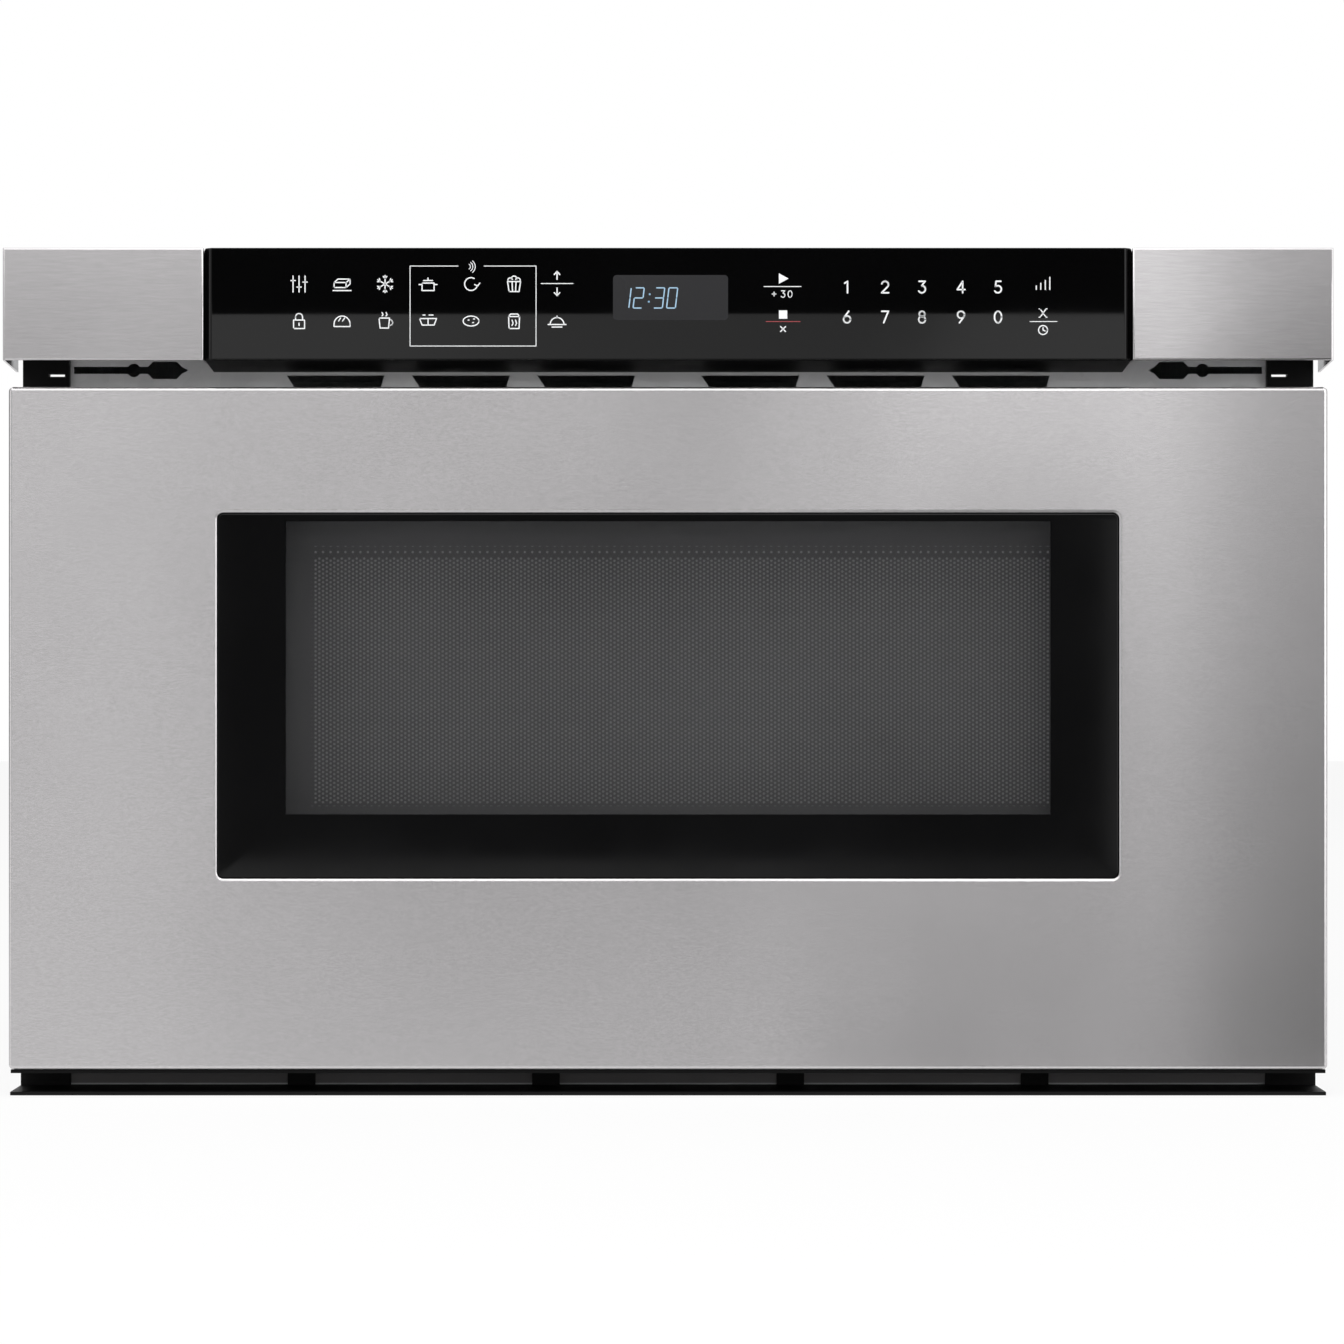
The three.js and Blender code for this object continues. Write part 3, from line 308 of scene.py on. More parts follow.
SLOT_MATERIAL = {
    "steel_brushed": STEEL,
    "steel_galvanised": GALVANISED,
    "glass_black": BLACK_GLASS,
    "glass_window": WINDOW_BORDER,
    "plastic_black": BLACK_PLASTIC,
    "plastic_white": WHITE_PLASTIC,
    "film_clear": FILM,
    "enamel_grey": ENAMEL,
    "screen_grey": SCREEN_PAINT,
    "circuit_green": CIRCUIT,
    "display_dark": DISPLAY,
    "winding_brown": WINDING,
}
SLOT_NODES = {
    "steel_brushed": ["drawer_front_skin", "end_trim_left", "end_trim_right"],
    "glass_black": ["touch_glass"],
    "glass_window": ["window_glass"],
    "plastic_black": [
        "control_housing", "lower_vent_trim", "side_post_left", "side_post_right", "cord_gland",
        "fan_housing", "fan_blade", "air_duct", "drawer_inner_frame", "choke_cover",
        "interlock_switch_left", "interlock_switch_right", "thermal_cutout",
    ],
    "plastic_white": [
        "stirrer_cover", "drive_rack", "drive_pinion", "pan_glide_left", "pan_glide_right",
        "latch_hook_left", "latch_hook_right", "interlock_plunger_left", "interlock_plunger_right",
        "oven_lamp",
    ],
    "film_clear": ["barrier_sheet"],
    "enamel_grey": ["cavity_liner", "drawer_pan"],
    "screen_grey": ["window_screen"],
    "circuit_green": ["control_board", "noise_filter_board"],
    "display_dark": ["display_module"],
    "winding_brown": ["transformer"],
}
slot_of = {node: slot for slot, names in SLOT_NODES.items() for node in names}
for name, node in nodes.items():
    slot = slot_of.setdefault(name, "steel_galvanised")
    node.data.materials.clear()
    node.data.materials.append(SLOT_MATERIAL[slot])
nodes["front_frame"].data.materials[0] = LIT_PLATE_ZINC


# ---- Pieces made from the frame's nodes, with rounded edges ----
def object_from(bm, name, *materials):
    """Frees bm, and returns a new object in the scene that has its faces."""
    mesh = bpy.data.meshes.new(name)
    bm.to_mesh(mesh)
    bm.free()
    for material in materials:
        mesh.materials.append(material)
    obj = bpy.data.objects.new(name, mesh)
    scene.collection.objects.link(obj)
    return obj


def place(obj, body, slot, *replaced):
    """Puts a new piece on its body, in the stead of the nodes that it replaces."""
    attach(obj, body)
    if replaced:
        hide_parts(*replaced)
    return obj


def flatten_facets(bm):
    """Merges the triangles of each flat face of a node's mesh."""
    bmesh.ops.remove_doubles(bm, verts=bm.verts, dist=0.00001)
    bmesh.ops.dissolve_limit(
        bm, angle_limit=math.radians(0.5), verts=bm.verts, edges=bm.edges, delimit={"NORMAL"}
    )


def sharp_edges(bm):
    """The edges where two faces meet at more than 30 degrees."""
    limit = math.radians(30)
    return [e for e in bm.edges if len(e.link_faces) == 2 and e.calc_face_angle(0) > limit]


def round_edges(bm, edges, width, segments):
    """Rounds edges by a width in metres."""
    if edges:
        bmesh.ops.bevel(
            bm, geom=edges, offset=width, segments=segments, profile=0.5,
            affect="EDGES", clamp_overlap=True, material=-1,
        )


def smooth(obj, angle):
    """Smooth shading up to an angle in degrees, with flat faces kept flat."""
    for face in obj.data.polygons:
        face.use_smooth = True
    obj.data.set_sharp_from_angle(angle=math.radians(angle))
    modifier = obj.modifiers.new("normals", "WEIGHTED_NORMAL")
    modifier.keep_sharp = True
    modifier.weight = 100


def apply_modifiers(obj):
    """Gives the object the mesh that its modifiers make of it."""
    graph = bpy.context.evaluated_depsgraph_get()
    mesh = bpy.data.meshes.new_from_object(obj.evaluated_get(graph), depsgraph=graph)
    old = obj.data
    obj.modifiers.clear()
    obj.data = mesh
    bpy.data.meshes.remove(old)


def piece_from_node(name, passes, material=None):
    """A piece like the node, its edges rounded. passes are (which edges, width in mm, segments)."""
    bm = bmesh.new()
    bm.from_mesh(nodes[name].data)
    flatten_facets(bm)
    for chooses, width, segments in passes:
        round_edges(bm, [e for e in sharp_edges(bm) if chooses(e)], width * MM, segments)
    obj = object_from(bm, name + "_piece", material or nodes[name].data.materials[0])
    smooth(obj, 35)
    apply_modifiers(obj)
    return place(obj, body_of[name], slot_of[name], name)


def paint_below(obj, height, material):
    """Gives the part of a piece below a height its own material."""
    bm = bmesh.new()
    bm.from_mesh(obj.data)
    geometry = bm.verts[:] + bm.edges[:] + bm.faces[:]
    bmesh.ops.bisect_plane(bm, geom=geometry, plane_co=(0, 0, height), plane_no=(0, 0, 1))
    obj.data.materials.append(material)
    for face in bm.faces:
        if face.calc_center_median().z < height:
            face.material_index = len(obj.data.materials) - 1
    bm.to_mesh(obj.data)
    bm.free()


def every_edge(edge):
    """Chooses all the edges."""
    return True


def on_face(axis, value):
    """Chooses the edges that lie in the plane axis = value mm."""
    return lambda edge: all(abs(v.co[axis] / MM - value) < 0.02 for v in edge.verts)


def arc(x, z, radius, start, end, steps=12):
    """Points on an arc, angles in degrees."""
    turn = [math.radians(start + (end - start) * k / steps) for k in range(steps + 1)]
    return [(x + radius * math.cos(a), z + radius * math.sin(a)) for a in turn]


def rounded_outline(x0, x1, z0, z1, radius, steps=5):
    """A rectangle with round corners, as (x, z) points."""
    points = []
    for cx, cz, start in (
        (x1 - radius, z1 - radius, 0),
        (x0 + radius, z1 - radius, 90),
        (x0 + radius, z0 + radius, 180),
        (x1 - radius, z0 + radius, 270),
    ):
        points += arc(cx, cz, radius, start, start + 90, steps)
    return points


def loft(bm, rings, closed=False, cap_first=False, cap_last=False):
    """Faces between rings of points, in mm, that all have the same number of points."""
    made = [[bm.verts.new(Vector(point) * MM) for point in ring] for ring in rings]
    pairs = zip(made, made[1:] + (made[:1] if closed else []))
    for first, second in pairs:
        for k in range(len(first)):
            following = (k + 1) % len(first)
            bm.faces.new((first[k], first[following], second[following], second[k]))
    if cap_first:
        bm.faces.new(list(reversed(made[0])))
    if cap_last:
        bm.faces.new(made[-1])


def finish_piece(bm, name, body, slot, material, *replaced):
    """Makes the closed shapes in bm a smoothed piece of that name."""
    bmesh.ops.recalc_face_normals(bm, faces=bm.faces)
    obj = object_from(bm, name, material)
    smooth(obj, 40)
    apply_modifiers(obj)
    return place(obj, body, slot, *replaced)


# ---- Drawer front ----
SKIN_SHEET = 1.0
SKIN_CORNER = 2.2
RIM_RADIUS = 1.9  # of the fold at the outer edge
HOLE_CORNER = 2.9
HOLE_GAP = 0.4  # between the cut-out and the window glass
HOLE_ROUND_X, HOLE_ROUND_Y = 1.5, 0.85  # of the turned-in edge of the cut-out


def drawer_skin():
    """The drawer's front sheet: its rim and the edge of its cut-out are rolled back."""
    low, high = (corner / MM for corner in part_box("drawer_front_skin"))
    glass_low, glass_high = (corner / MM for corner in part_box("window_glass"))
    front, back = low.y, high.y

    def rim(inset, y):
        corner = max(SKIN_CORNER - inset, 0.25)
        left, right = low.x + inset, high.x - inset
        return rounded_outline(left, right, low.z + inset, high.z - inset, corner, 6), y

    def hole(outset, y):
        grow = HOLE_GAP + outset
        x = glass_high.x + grow
        bottom, top = glass_low.z - grow, glass_high.z + grow
        return rounded_outline(-x, x, bottom, top, HOLE_CORNER + outset, 6), y

    turn = [math.radians(90 * k / 8) for k in range(9)]
    rings = [rim(0, back)]
    rings += [
        rim(RIM_RADIUS * (1 - math.cos(a)), front + RIM_RADIUS * (1 - math.sin(a))) for a in turn
    ]
    rings += [
        hole(HOLE_ROUND_X * (1 - math.cos(a)), front + HOLE_ROUND_Y * (1 - math.sin(a)))
        for a in reversed(turn)
    ]
    inner_face = front + SKIN_SHEET
    rings += [hole(0, inner_face), rim(SKIN_SHEET, inner_face), rim(SKIN_SHEET, back)]
    bm = bmesh.new()
    loft(bm, [[(x, y, z) for x, z in outline] for outline, y in rings], closed=True)
    return finish_piece(bm, "drawer_skin", "drawer", "steel_brushed", STEEL, "drawer_front_skin")


drawer_skin()

# The black border of the window is this wide at the sides, at the bottom and at the top.
BORDER_SIDE, BORDER_LOW, BORDER_HIGH = 30.6 * MM, 28.8 * MM, 3.4 * MM


def window_pane():
    """The window glass: an opaque printed border round a clear area."""
    low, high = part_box("window_glass")
    clear_half = high.x - BORDER_SIDE
    clear_low = low.z + BORDER_LOW
    clear_high = high.z - BORDER_HIGH
    bm = bmesh.new()
    bm.from_mesh(nodes["window_glass"].data)
    flatten_facets(bm)
    round_edges(bm, sharp_edges(bm), 0.5 * MM, 2)
    cuts = [
        ((-clear_half, 0, 0), (1, 0, 0)),
        ((clear_half, 0, 0), (1, 0, 0)),
        ((0, 0, clear_low), (0, 0, 1)),
        ((0, 0, clear_high), (0, 0, 1)),
    ]
    for point, normal in cuts:
        geometry = bm.verts[:] + bm.edges[:] + bm.faces[:]
        bmesh.ops.bisect_plane(bm, geom=geometry, plane_co=point, plane_no=normal)
    for face in bm.faces:
        middle = face.calc_center_median()
        inside = abs(middle.x) < clear_half and clear_low < middle.z < clear_high
        face.material_index = 1 if inside else 0
    obj = object_from(bm, "window_pane", WINDOW_BORDER, WINDOW_CLEAR)
    smooth(obj, 30)
    apply_modifiers(obj)
    return place(obj, "drawer", "glass_window", "window_glass")


window_pane()


# ---- Perforated screen ----
HOLE_PITCH = 2.0 * MM
HOLE_RADIUS = 0.62 * MM
# The field of holes, and how far the picture has it off its place.
FIELD_HALF_X = 171 * MM
FIELD_LOW, FIELD_HIGH = 138.5 * MM, 253.3 * MM
FIELD_SHIFT_X, FIELD_SHIFT_Z = 6.3 * MM, -4.8 * MM


def perforated_screen():
    """The shielding screen: a sheet with a hexagonal field of holes, inside a plain margin."""
    low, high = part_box("window_screen")
    y = low.y
    step_x = HOLE_PITCH * math.sqrt(3) / 2
    columns = int(2 * FIELD_HALF_X / step_x) // 2 * 2 + 1
    rows = int((FIELD_HIGH - FIELD_LOW) / HOLE_PITCH)
    left = FIELD_SHIFT_X - (columns - 1) / 2 * step_x
    bottom = FIELD_LOW + FIELD_SHIFT_Z
    bm = bmesh.new()
    corners = {}
    for i in range(-1, columns + 1):
        for j in range(-1, rows + 3):
            cx = left + i * step_x
            cz = bottom + (j + (0.5 if i % 2 else 0.0)) * HOLE_PITCH
            ring = []
            for k in range(6):
                angle = k * math.pi / 3
                px = cx + HOLE_RADIUS * math.cos(angle)
                pz = cz + HOLE_RADIUS * math.sin(angle)
                ring.append(bm.verts.new((px, y, pz)))
            corners[i, j] = ring
            sparse_row = j == rows + 1 and i % 2 == 0
            open_hole = 0 <= i < columns and (0 <= j < rows or sparse_row)
            if not open_hole:
                bm.faces.new(ring)

    def up_right(i, j):
        return (i + 1, j + 1) if i % 2 else (i + 1, j)

    def down_right(i, j):
        return (i + 1, j) if i % 2 else (i + 1, j - 1)

    for (i, j), ring in corners.items():
        above = corners.get((i, j + 1))
        upper = corners.get(up_right(i, j))
        lower = corners.get(down_right(i, j))
        if above:
            bm.faces.new((ring[1], ring[2], above[4], above[5]))
        if upper:
            bm.faces.new((ring[0], ring[1], upper[3], upper[4]))
        if lower:
            bm.faces.new((ring[5], ring[0], lower[2], lower[3]))
        if above and upper:
            bm.faces.new((ring[1], above[5], upper[3]))
        if upper and lower:
            bm.faces.new((ring[0], upper[4], lower[2]))
    # The plain margin overlaps the field, just in front of it.
    edge_left = left - 1.2 * step_x
    edge_right = left + (columns - 1 + 1.2) * step_x
    edge_low = bottom - 0.9 * HOLE_PITCH
    edge_high = bottom + (rows + 2.4) * HOLE_PITCH
    front = y - 0.03 * MM
    outer = [(low.x, low.z), (high.x, low.z), (high.x, high.z), (low.x, high.z)]
    inner = [
        (edge_left, edge_low), (edge_right, edge_low),
        (edge_right, edge_high), (edge_left, edge_high),
    ]
    back = high.y
    rings = [
        [bm.verts.new((px, front, pz)) for px, pz in inner],
        [bm.verts.new((px, front, pz)) for px, pz in outer],
        [bm.verts.new((px, back, pz)) for px, pz in outer],
    ]
    for first, second in zip(rings, rings[1:]):
        for k in range(4):
            following = (k + 1) % 4
            bm.faces.new((first[k], first[following], second[following], second[k]))
    bmesh.ops.recalc_face_normals(bm, faces=bm.faces)
    for face in bm.faces:
        if face.normal.y > 0.5:
            face.normal_flip()
    obj = object_from(bm, "perforated_screen", SCREEN_PAINT)
    return place(obj, "drawer", "screen_grey", "window_screen")


perforated_screen()


# ---- Control panel ----
def is_long(edge):
    """Chooses the edges longer than 20 mm."""
    return edge.calc_length() > 20 * MM


for name in ("end_trim_left", "end_trim_right"):
    low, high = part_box(name)
    front = on_face(1, low.y / MM)
    top = on_face(2, high.z / MM)
    piece_from_node(
        name,
        [
            (lambda edge: front(edge) and is_long(edge), 1.0, 4),
            (lambda edge: top(edge) and is_long(edge), 0.5, 2),
        ],
        material=TRIM_STEEL,
    )
GLASS_INSET = 0.07 * MM  # room for the prints inside the part's own box
glass = piece_from_node("touch_glass", [(every_edge, 0.45, 3)])
for vertex in glass.data.vertices:
    vertex.co.y = max(vertex.co.y, FRONT_Y + GLASS_INSET)
piece_from_node("control_housing", [(every_edge, 0.4, 2)], material=TRIM_BLACK)
for name in ("side_post_left", "side_post_right", "lower_vent_trim"):
    piece_from_node(name, [(every_edge, 0.35, 2)], material=TRIM_BLACK)


def print_on_glass(bm, outline, lift):
    """Adds a flat printed shape; outline is (x, z) in mm, turned so that it faces forward."""
    y = FRONT_Y + GLASS_INSET - lift * MM
    verts = [bm.verts.new((x * MM, y, z * MM)) for x, z in outline]
    made = bm.faces.new(verts)
    made.normal_update()
    if made.normal.y > 0:
        made.normal_flip()


PRINT_LIFT = 0.05  # mm, of the printed faces over the glass
DOT_LIFT = 0.004  # mm, of the round ends over the lines
DOT_TURN = [k * math.pi / 4 for k in range(8)]


def stroke(bm, points, width, lift=PRINT_LIFT):
    """A printed line through points, in mm, with round corners and ends."""
    half = width / 2
    for (x0, z0), (x1, z1) in zip(points, points[1:]):
        length = math.hypot(x1 - x0, z1 - z0)
        if length < 1e-6:
            continue
        nx = -(z1 - z0) / length * half
        nz = (x1 - x0) / length * half
        corners = [(x0 + nx, z0 + nz), (x0 - nx, z0 - nz), (x1 - nx, z1 - nz), (x1 + nx, z1 + nz)]
        print_on_glass(bm, corners, lift)
    for x, z in points:
        dot = [(x + half * math.cos(a), z + half * math.sin(a)) for a in DOT_TURN]
        print_on_glass(bm, dot, lift + DOT_LIFT)


def snow_crystal():
    """Three crossed lines with barbs near their ends."""
    lines = [
        [(0.85 * math.cos(a), 0.85 * math.sin(a)), (-0.85 * math.cos(a), -0.85 * math.sin(a))]
        for a in (math.pi / 2, math.pi / 6, -math.pi / 6)
    ]
    for k in range(6):
        a = math.pi / 6 + k * math.pi / 3
        x, z = 0.55 * math.cos(a), 0.55 * math.sin(a)
        for turn in (-0.7, 0.7):
            lines.append([(x, z), (x + 0.28 * math.cos(a + turn), z + 0.28 * math.sin(a + turn))])
    return lines


# Pictograms in units of their half size, as lines of (x, z) points.
ICONS = {
    "lock": [
        [(-0.55, -0.75), (0.55, -0.75), (0.55, 0.1), (-0.55, 0.1), (-0.55, -0.75)],
        [(-0.35, 0.1), (-0.35, 0.4)] + arc(0, 0.4, 0.35, 180, 0) + [(0.35, 0.1)],
        [(0, -0.2), (0, -0.45)],
    ],
    "sliders": [
        line
        for x, knob in ((-0.6, 0.35), (0, -0.3), (0.6, 0.2))
        for line in ([(x, -0.8), (x, 0.8)], [(x - 0.22, knob), (x + 0.22, knob)])
    ],
    "flake": snow_crystal(),
    "cup": [
        [(-0.6, 0.3), (-0.5, -0.7), (0.35, -0.7), (0.45, 0.3), (-0.6, 0.3)],
        arc(0.48, -0.15, 0.28, 80, -80),
        [(-0.3, 0.5), (-0.2, 0.65), (-0.3, 0.85)],
        [(0.1, 0.5), (0.2, 0.65), (0.1, 0.85)],
    ],
    "butter": [
        [(-0.8, -0.35), (0.4, -0.35), (0.4, 0.15), (-0.8, 0.15), (-0.8, -0.35)],
        [(-0.8, 0.15), (-0.4, 0.5), (0.8, 0.5), (0.8, 0.0), (0.4, -0.35)],
        [(0.4, 0.15), (0.8, 0.5)],
        [(-0.9, -0.65), (0.9, -0.65)],
    ],
    "roll": [
        arc(0, -0.3, 0.8, 0, 180) + [(-0.8, -0.55), (0.8, -0.55), (0.8, -0.3)],
        [(-0.35, 0.0), (-0.15, 0.3)],
        [(0.05, 0.0), (0.25, 0.3)],
    ],
    "pot": [
        [(-0.6, 0.1), (-0.6, -0.65), (0.6, -0.65), (0.6, 0.1), (-0.6, 0.1)],
        [(-0.9, -0.05), (-0.6, -0.05)],
        [(0.6, -0.05), (0.9, -0.05)],
        [(-0.45, 0.35), (0.45, 0.35)],
        [(0, 0.35), (0, 0.6)],
    ],
    "again": [
        arc(0, 0, 0.65, 60, 350),
        [(0.35, -0.05), (0.66, -0.2), (0.88, 0.1)],
    ],
    "box": [
        [(-0.5, -0.75), (0.5, -0.75), (0.65, 0.25), (-0.65, 0.25), (-0.5, -0.75)],
        arc(-0.38, 0.38, 0.24, 20, 200, 8),
        arc(0, 0.52, 0.28, 0, 180, 8),
        arc(0.38, 0.38, 0.24, -20, 160, 8),
        [(-0.2, 0.2), (-0.15, -0.7)],
        [(0.2, 0.2), (0.15, -0.7)],
    ],
    "tray": [
        [(-0.85, 0.25), (-0.6, -0.4), (0.6, -0.4), (0.85, 0.25), (-0.85, 0.25)],
        [(0, 0.25), (0, -0.4)],
        [(-0.5, 0.6), (-0.3, 0.6)],
        [(0.1, 0.6), (0.5, 0.6)],
    ],
    "potato": [
        [(0.8 * u, 0.5 * v) for u, v in arc(0, 0, 1, 0, 360, 16)],
        [(-0.3, 0.1), (-0.2, 0.1)],
        [(0.15, -0.15), (0.25, -0.15)],
        [(0.25, 0.2), (0.35, 0.2)],
    ],
    "bag": [
        [(-0.5, -0.75), (0.5, -0.75), (0.55, 0.45), (-0.55, 0.45), (-0.5, -0.75)],
        [(-0.55, 0.45), (-0.35, 0.7), (0.35, 0.7), (0.55, 0.45)],
        [(-0.2, -0.45), (-0.1, -0.2), (-0.2, 0.1)],
        [(0.15, -0.45), (0.25, -0.2), (0.15, 0.1)],
    ],
    "dish": [
        arc(0, -0.35, 0.7, 0, 180),
        [(-0.9, -0.35), (0.9, -0.35)],
        [(-0.5, -0.6), (0.5, -0.6)],
        [(0, 0.35), (0, 0.5)],
    ],
    "wave": [
        arc(-0.55, -0.1, 0.45, 60, -60, 6),
        arc(-0.55, -0.1, 0.85, 55, -55, 8),
        arc(-0.55, -0.1, 1.25, 50, -50, 8),
    ],
    "open": [[(0, -0.7), (0, 0.5)], [(-0.45, 0.1), (0, 0.6), (0.45, 0.1)]],
    "close": [[(0, 0.7), (0, -0.5)], [(-0.45, -0.1), (0, -0.6), (0.45, -0.1)]],
    "cross": [[(-0.5, -0.5), (0.5, 0.5)], [(-0.5, 0.5), (0.5, -0.5)]],
    "bars": [
        [(x, -0.6), (x, z)] for x, z in ((-0.75, -0.2), (-0.25, 0.1), (0.25, 0.4), (0.75, 0.75))
    ],
    "timer": [
        [(-0.5, 0.7), (0.5, 0.7), (-0.5, -0.7), (0.5, -0.7), (-0.5, 0.7)],
        [(-0.65, 0.7), (0.65, 0.7)],
        [(-0.65, -0.7), (0.65, -0.7)],
    ],
    "clock": [arc(0, 0, 0.75, 0, 360, 20), [(0, 0.4), (0, 0), (0.35, -0.15)]],
}
BOLD, FINE, THIN = 0.6, 0.52, 0.36  # mm, widths of printed lines


def photo_mm(px, py):
    """photo_point in mm."""
    return tuple(c / MM for c in photo_point(px, py))


def print_sign(bm, lines, px, py, unit, width):
    """Prints lines whose unit is that many pixels of the picture, centred on a pixel of it."""
    x, z = photo_mm(px, py)
    size = unit * PHOTO_PIXEL / MM
    for line in lines:
        stroke(bm, [(x + u * size, z + v * size) for u, v in line], width)


def photo_line(bm, points, width):
    """Prints a line through pixels of the picture."""
    stroke(bm, [photo_mm(*point) for point in points], width)


def finish_print(bm, name, material, slot="plastic_white"):
    """Makes the flat shapes in bm a printed piece."""
    return place(object_from(bm, name, material), "chassis", slot)


UPPER_ROW, LOWER_ROW = 284, 321  # pixel rows of the pictograms
ICON_COLUMNS = [
    (299, "sliders", "lock"),
    (342, "butter", "roll"),
    (385, "flake", "cup"),
    (428, "pot", "tray"),
    (471, "again", "potato"),
    (514, "box", "bag"),
]
ICON_HALF = 10  # pixels
OTHER_ICONS = [  # name, pixel, half size in pixels, line width
    ("wave", 471, 266, 6, THIN),
    ("open", 557, 275, 6, BOLD),
    ("close", 557, 292, 6, FINE),
    ("dish", 557, LOWER_ROW, ICON_HALF, FINE),
    ("bars", 1043, UPPER_ROW, 9, FINE),
    ("timer", 1043, 313, 6, FINE),
    ("clock", 1043, 330, 6, FINE),
    ("cross", 783, 329, 5, FINE),
]
RULES = [
    [(458, 266), (410, 266), (410, 346), (536, 346), (536, 266), (484, 266)],
    [(541, 283.5), (573, 283.5)],
    [(1030, 321.5), (1057, 321.5)],
    [(764, 286.5), (801, 286.5)],
]
STOP_HALF = 1.9
legends = bmesh.new()
for px, upper, lower in ICON_COLUMNS:
    print_sign(legends, ICONS[upper], px, UPPER_ROW, ICON_HALF, FINE)
    print_sign(legends, ICONS[lower], px, LOWER_ROW, ICON_HALF, FINE)
for name, px, py, half, width in OTHER_ICONS:
    print_sign(legends, ICONS[name], px, py, half, width)
for points in RULES:
    photo_line(legends, points, THIN)
x, z = photo_mm(783, 278.5)
print_on_glass(legends, [(x - 1.9, z - 2.4), (x - 1.9, z + 2.4), (x + 2.5, z)], PRINT_LIFT)
x, z = photo_mm(783, 314.5)
stop = [(x + u * STOP_HALF, z + v * STOP_HALF) for u, v in SQUARE]
print_on_glass(legends, stop, PRINT_LIFT)
finish_print(legends, "panel_pictograms", LEGEND)

red = bmesh.new()
photo_line(red, [(766, 321.5), (800, 321.5)], THIN)
finish_print(red, "stop_rule", LEGEND_RED)


# Figures one unit high about their middle, as lines of (x, z) points.
NUMERALS = {
    "0": [[(0.31 * u, 0.5 * v) for u, v in arc(0, 0, 1, 0, 360, 24)]],
    "1": [[(-0.2, 0.33), (0.04, 0.5), (0.04, -0.5)]],
    "2": [arc(0, 0.21, 0.29, 165, -35) + [(-0.3, -0.5), (0.31, -0.5)]],
    "3": [[(-0.26, 0.5), (0.26, 0.5), (-0.02, 0.12)] + arc(-0.02, -0.19, 0.31, 80, -150)],
    "4": [[(0.14, -0.5), (0.14, 0.5), (-0.33, -0.22), (0.34, -0.22)]],
    "5": [[(0.25, 0.5), (-0.17, 0.5), (-0.22, 0.05)] + arc(-0.02, -0.19, 0.31, 125, -150)],
    "6": [arc(0, -0.2, 0.3, 0, 360, 20), [(0.14, 0.5), (-0.24, 0.0)]],
    "7": [[(-0.29, 0.5), (0.29, 0.5), (-0.12, -0.5)]],
    "8": [arc(0, 0.26, 0.24, 0, 360, 18), arc(0, -0.22, 0.29, 0, 360, 20)],
    "9": [arc(0, 0.2, 0.3, 0, 360, 20), [(-0.14, -0.5), (0.24, 0.0)]],
    "+": [[(-0.3, 0.0), (0.3, 0.0)], [(0.0, -0.3), (0.0, 0.3)]],
}


KEY_COLUMNS = (847, 885, 922, 961, 998)
KEY_ROWS = (("12345", 287), ("67890", 317))
KEY_HEIGHT, KEY_WIDTH = 11.5, 0.72  # of a figure in pixels, of its line in mm
SMALL_HEIGHT, SMALL_WIDTH = 6.5, 0.42
figures = bmesh.new()
for row, py in KEY_ROWS:
    for figure, px in zip(row, KEY_COLUMNS):
        print_sign(figures, NUMERALS[figure], px, py, KEY_HEIGHT, KEY_WIDTH)
for figure, px in (("+", 774), ("3", 783), ("0", 790)):
    print_sign(figures, NUMERALS[figure], px, 294, SMALL_HEIGHT, SMALL_WIDTH)
finish_print(figures, "number_keys", LEGEND)


# ---- Display ----
x0, z1 = photo_mm(613, 275)
x1, z0 = photo_mm(728, 320)
window = bmesh.new()
print_on_glass(window, rounded_outline(x0, x1, z0, z1, 1.6), 0.03)
finish_print(window, "display_window", DISPLAY, "display_dark")

SEGMENTS = {"0": "abcdef", "1": "bc", "2": "abged", "3": "abgcd"}


def segment_lines(width, height):
    """The ends of the seven segments, in mm from the digit's lower left corner."""
    gap = 0.35
    middle = height / 2
    return {
        "a": ((gap, height), (width - gap, height)),
        "b": ((width, height - gap), (width, middle + gap)),
        "c": ((width, middle - gap), (width, gap)),
        "d": ((gap, 0), (width - gap, 0)),
        "e": ((0, middle - gap), (0, gap)),
        "f": ((0, height - gap), (0, middle + gap)),
        "g": ((gap, middle), (width - gap, middle)),
    }


DIGIT_HEIGHT, DIGIT_WIDTH, LEAN = 9.2, 4.0, 0.12
DIGIT_STROKE, DIGIT_LIFT = 0.54, 0.06
DIGIT_FOOT = 308  # pixel row of the digits' lower ends
COLON_HEIGHTS, COLON_SIZE = (2.9, 6.3), 0.9
digits = bmesh.new()
lines = segment_lines(DIGIT_WIDTH, DIGIT_HEIGHT)
for digit, px in (("1", 620), ("2", 633), ("3", 653.5), ("0", 666.5)):
    x, z = photo_mm(px, DIGIT_FOOT)
    for letter in SEGMENTS[digit]:
        ends = [(x + u + LEAN * v, z + v) for u, v in lines[letter]]
        stroke(digits, ends, DIGIT_STROKE, DIGIT_LIFT)
x, z = photo_mm(648, DIGIT_FOOT)
for v in COLON_HEIGHTS:
    spot = (x + LEAN * v, z + v)
    stroke(digits, [spot, (spot[0] + 0.02, spot[1])], COLON_SIZE, DIGIT_LIFT)
finish_print(digits, "display_digits", SEGMENT, "display_dark")


# ---- Drawer pan ----
TUB_WALL = 1.5
TUB_CORNER, TUB_FILLET = 16, 9
TUB_ROLL = 1.6  # radius of the rolled rim
TUB_WINDOW = (-176, 176, 112, 246)  # x and z of the opening behind the window, in mm


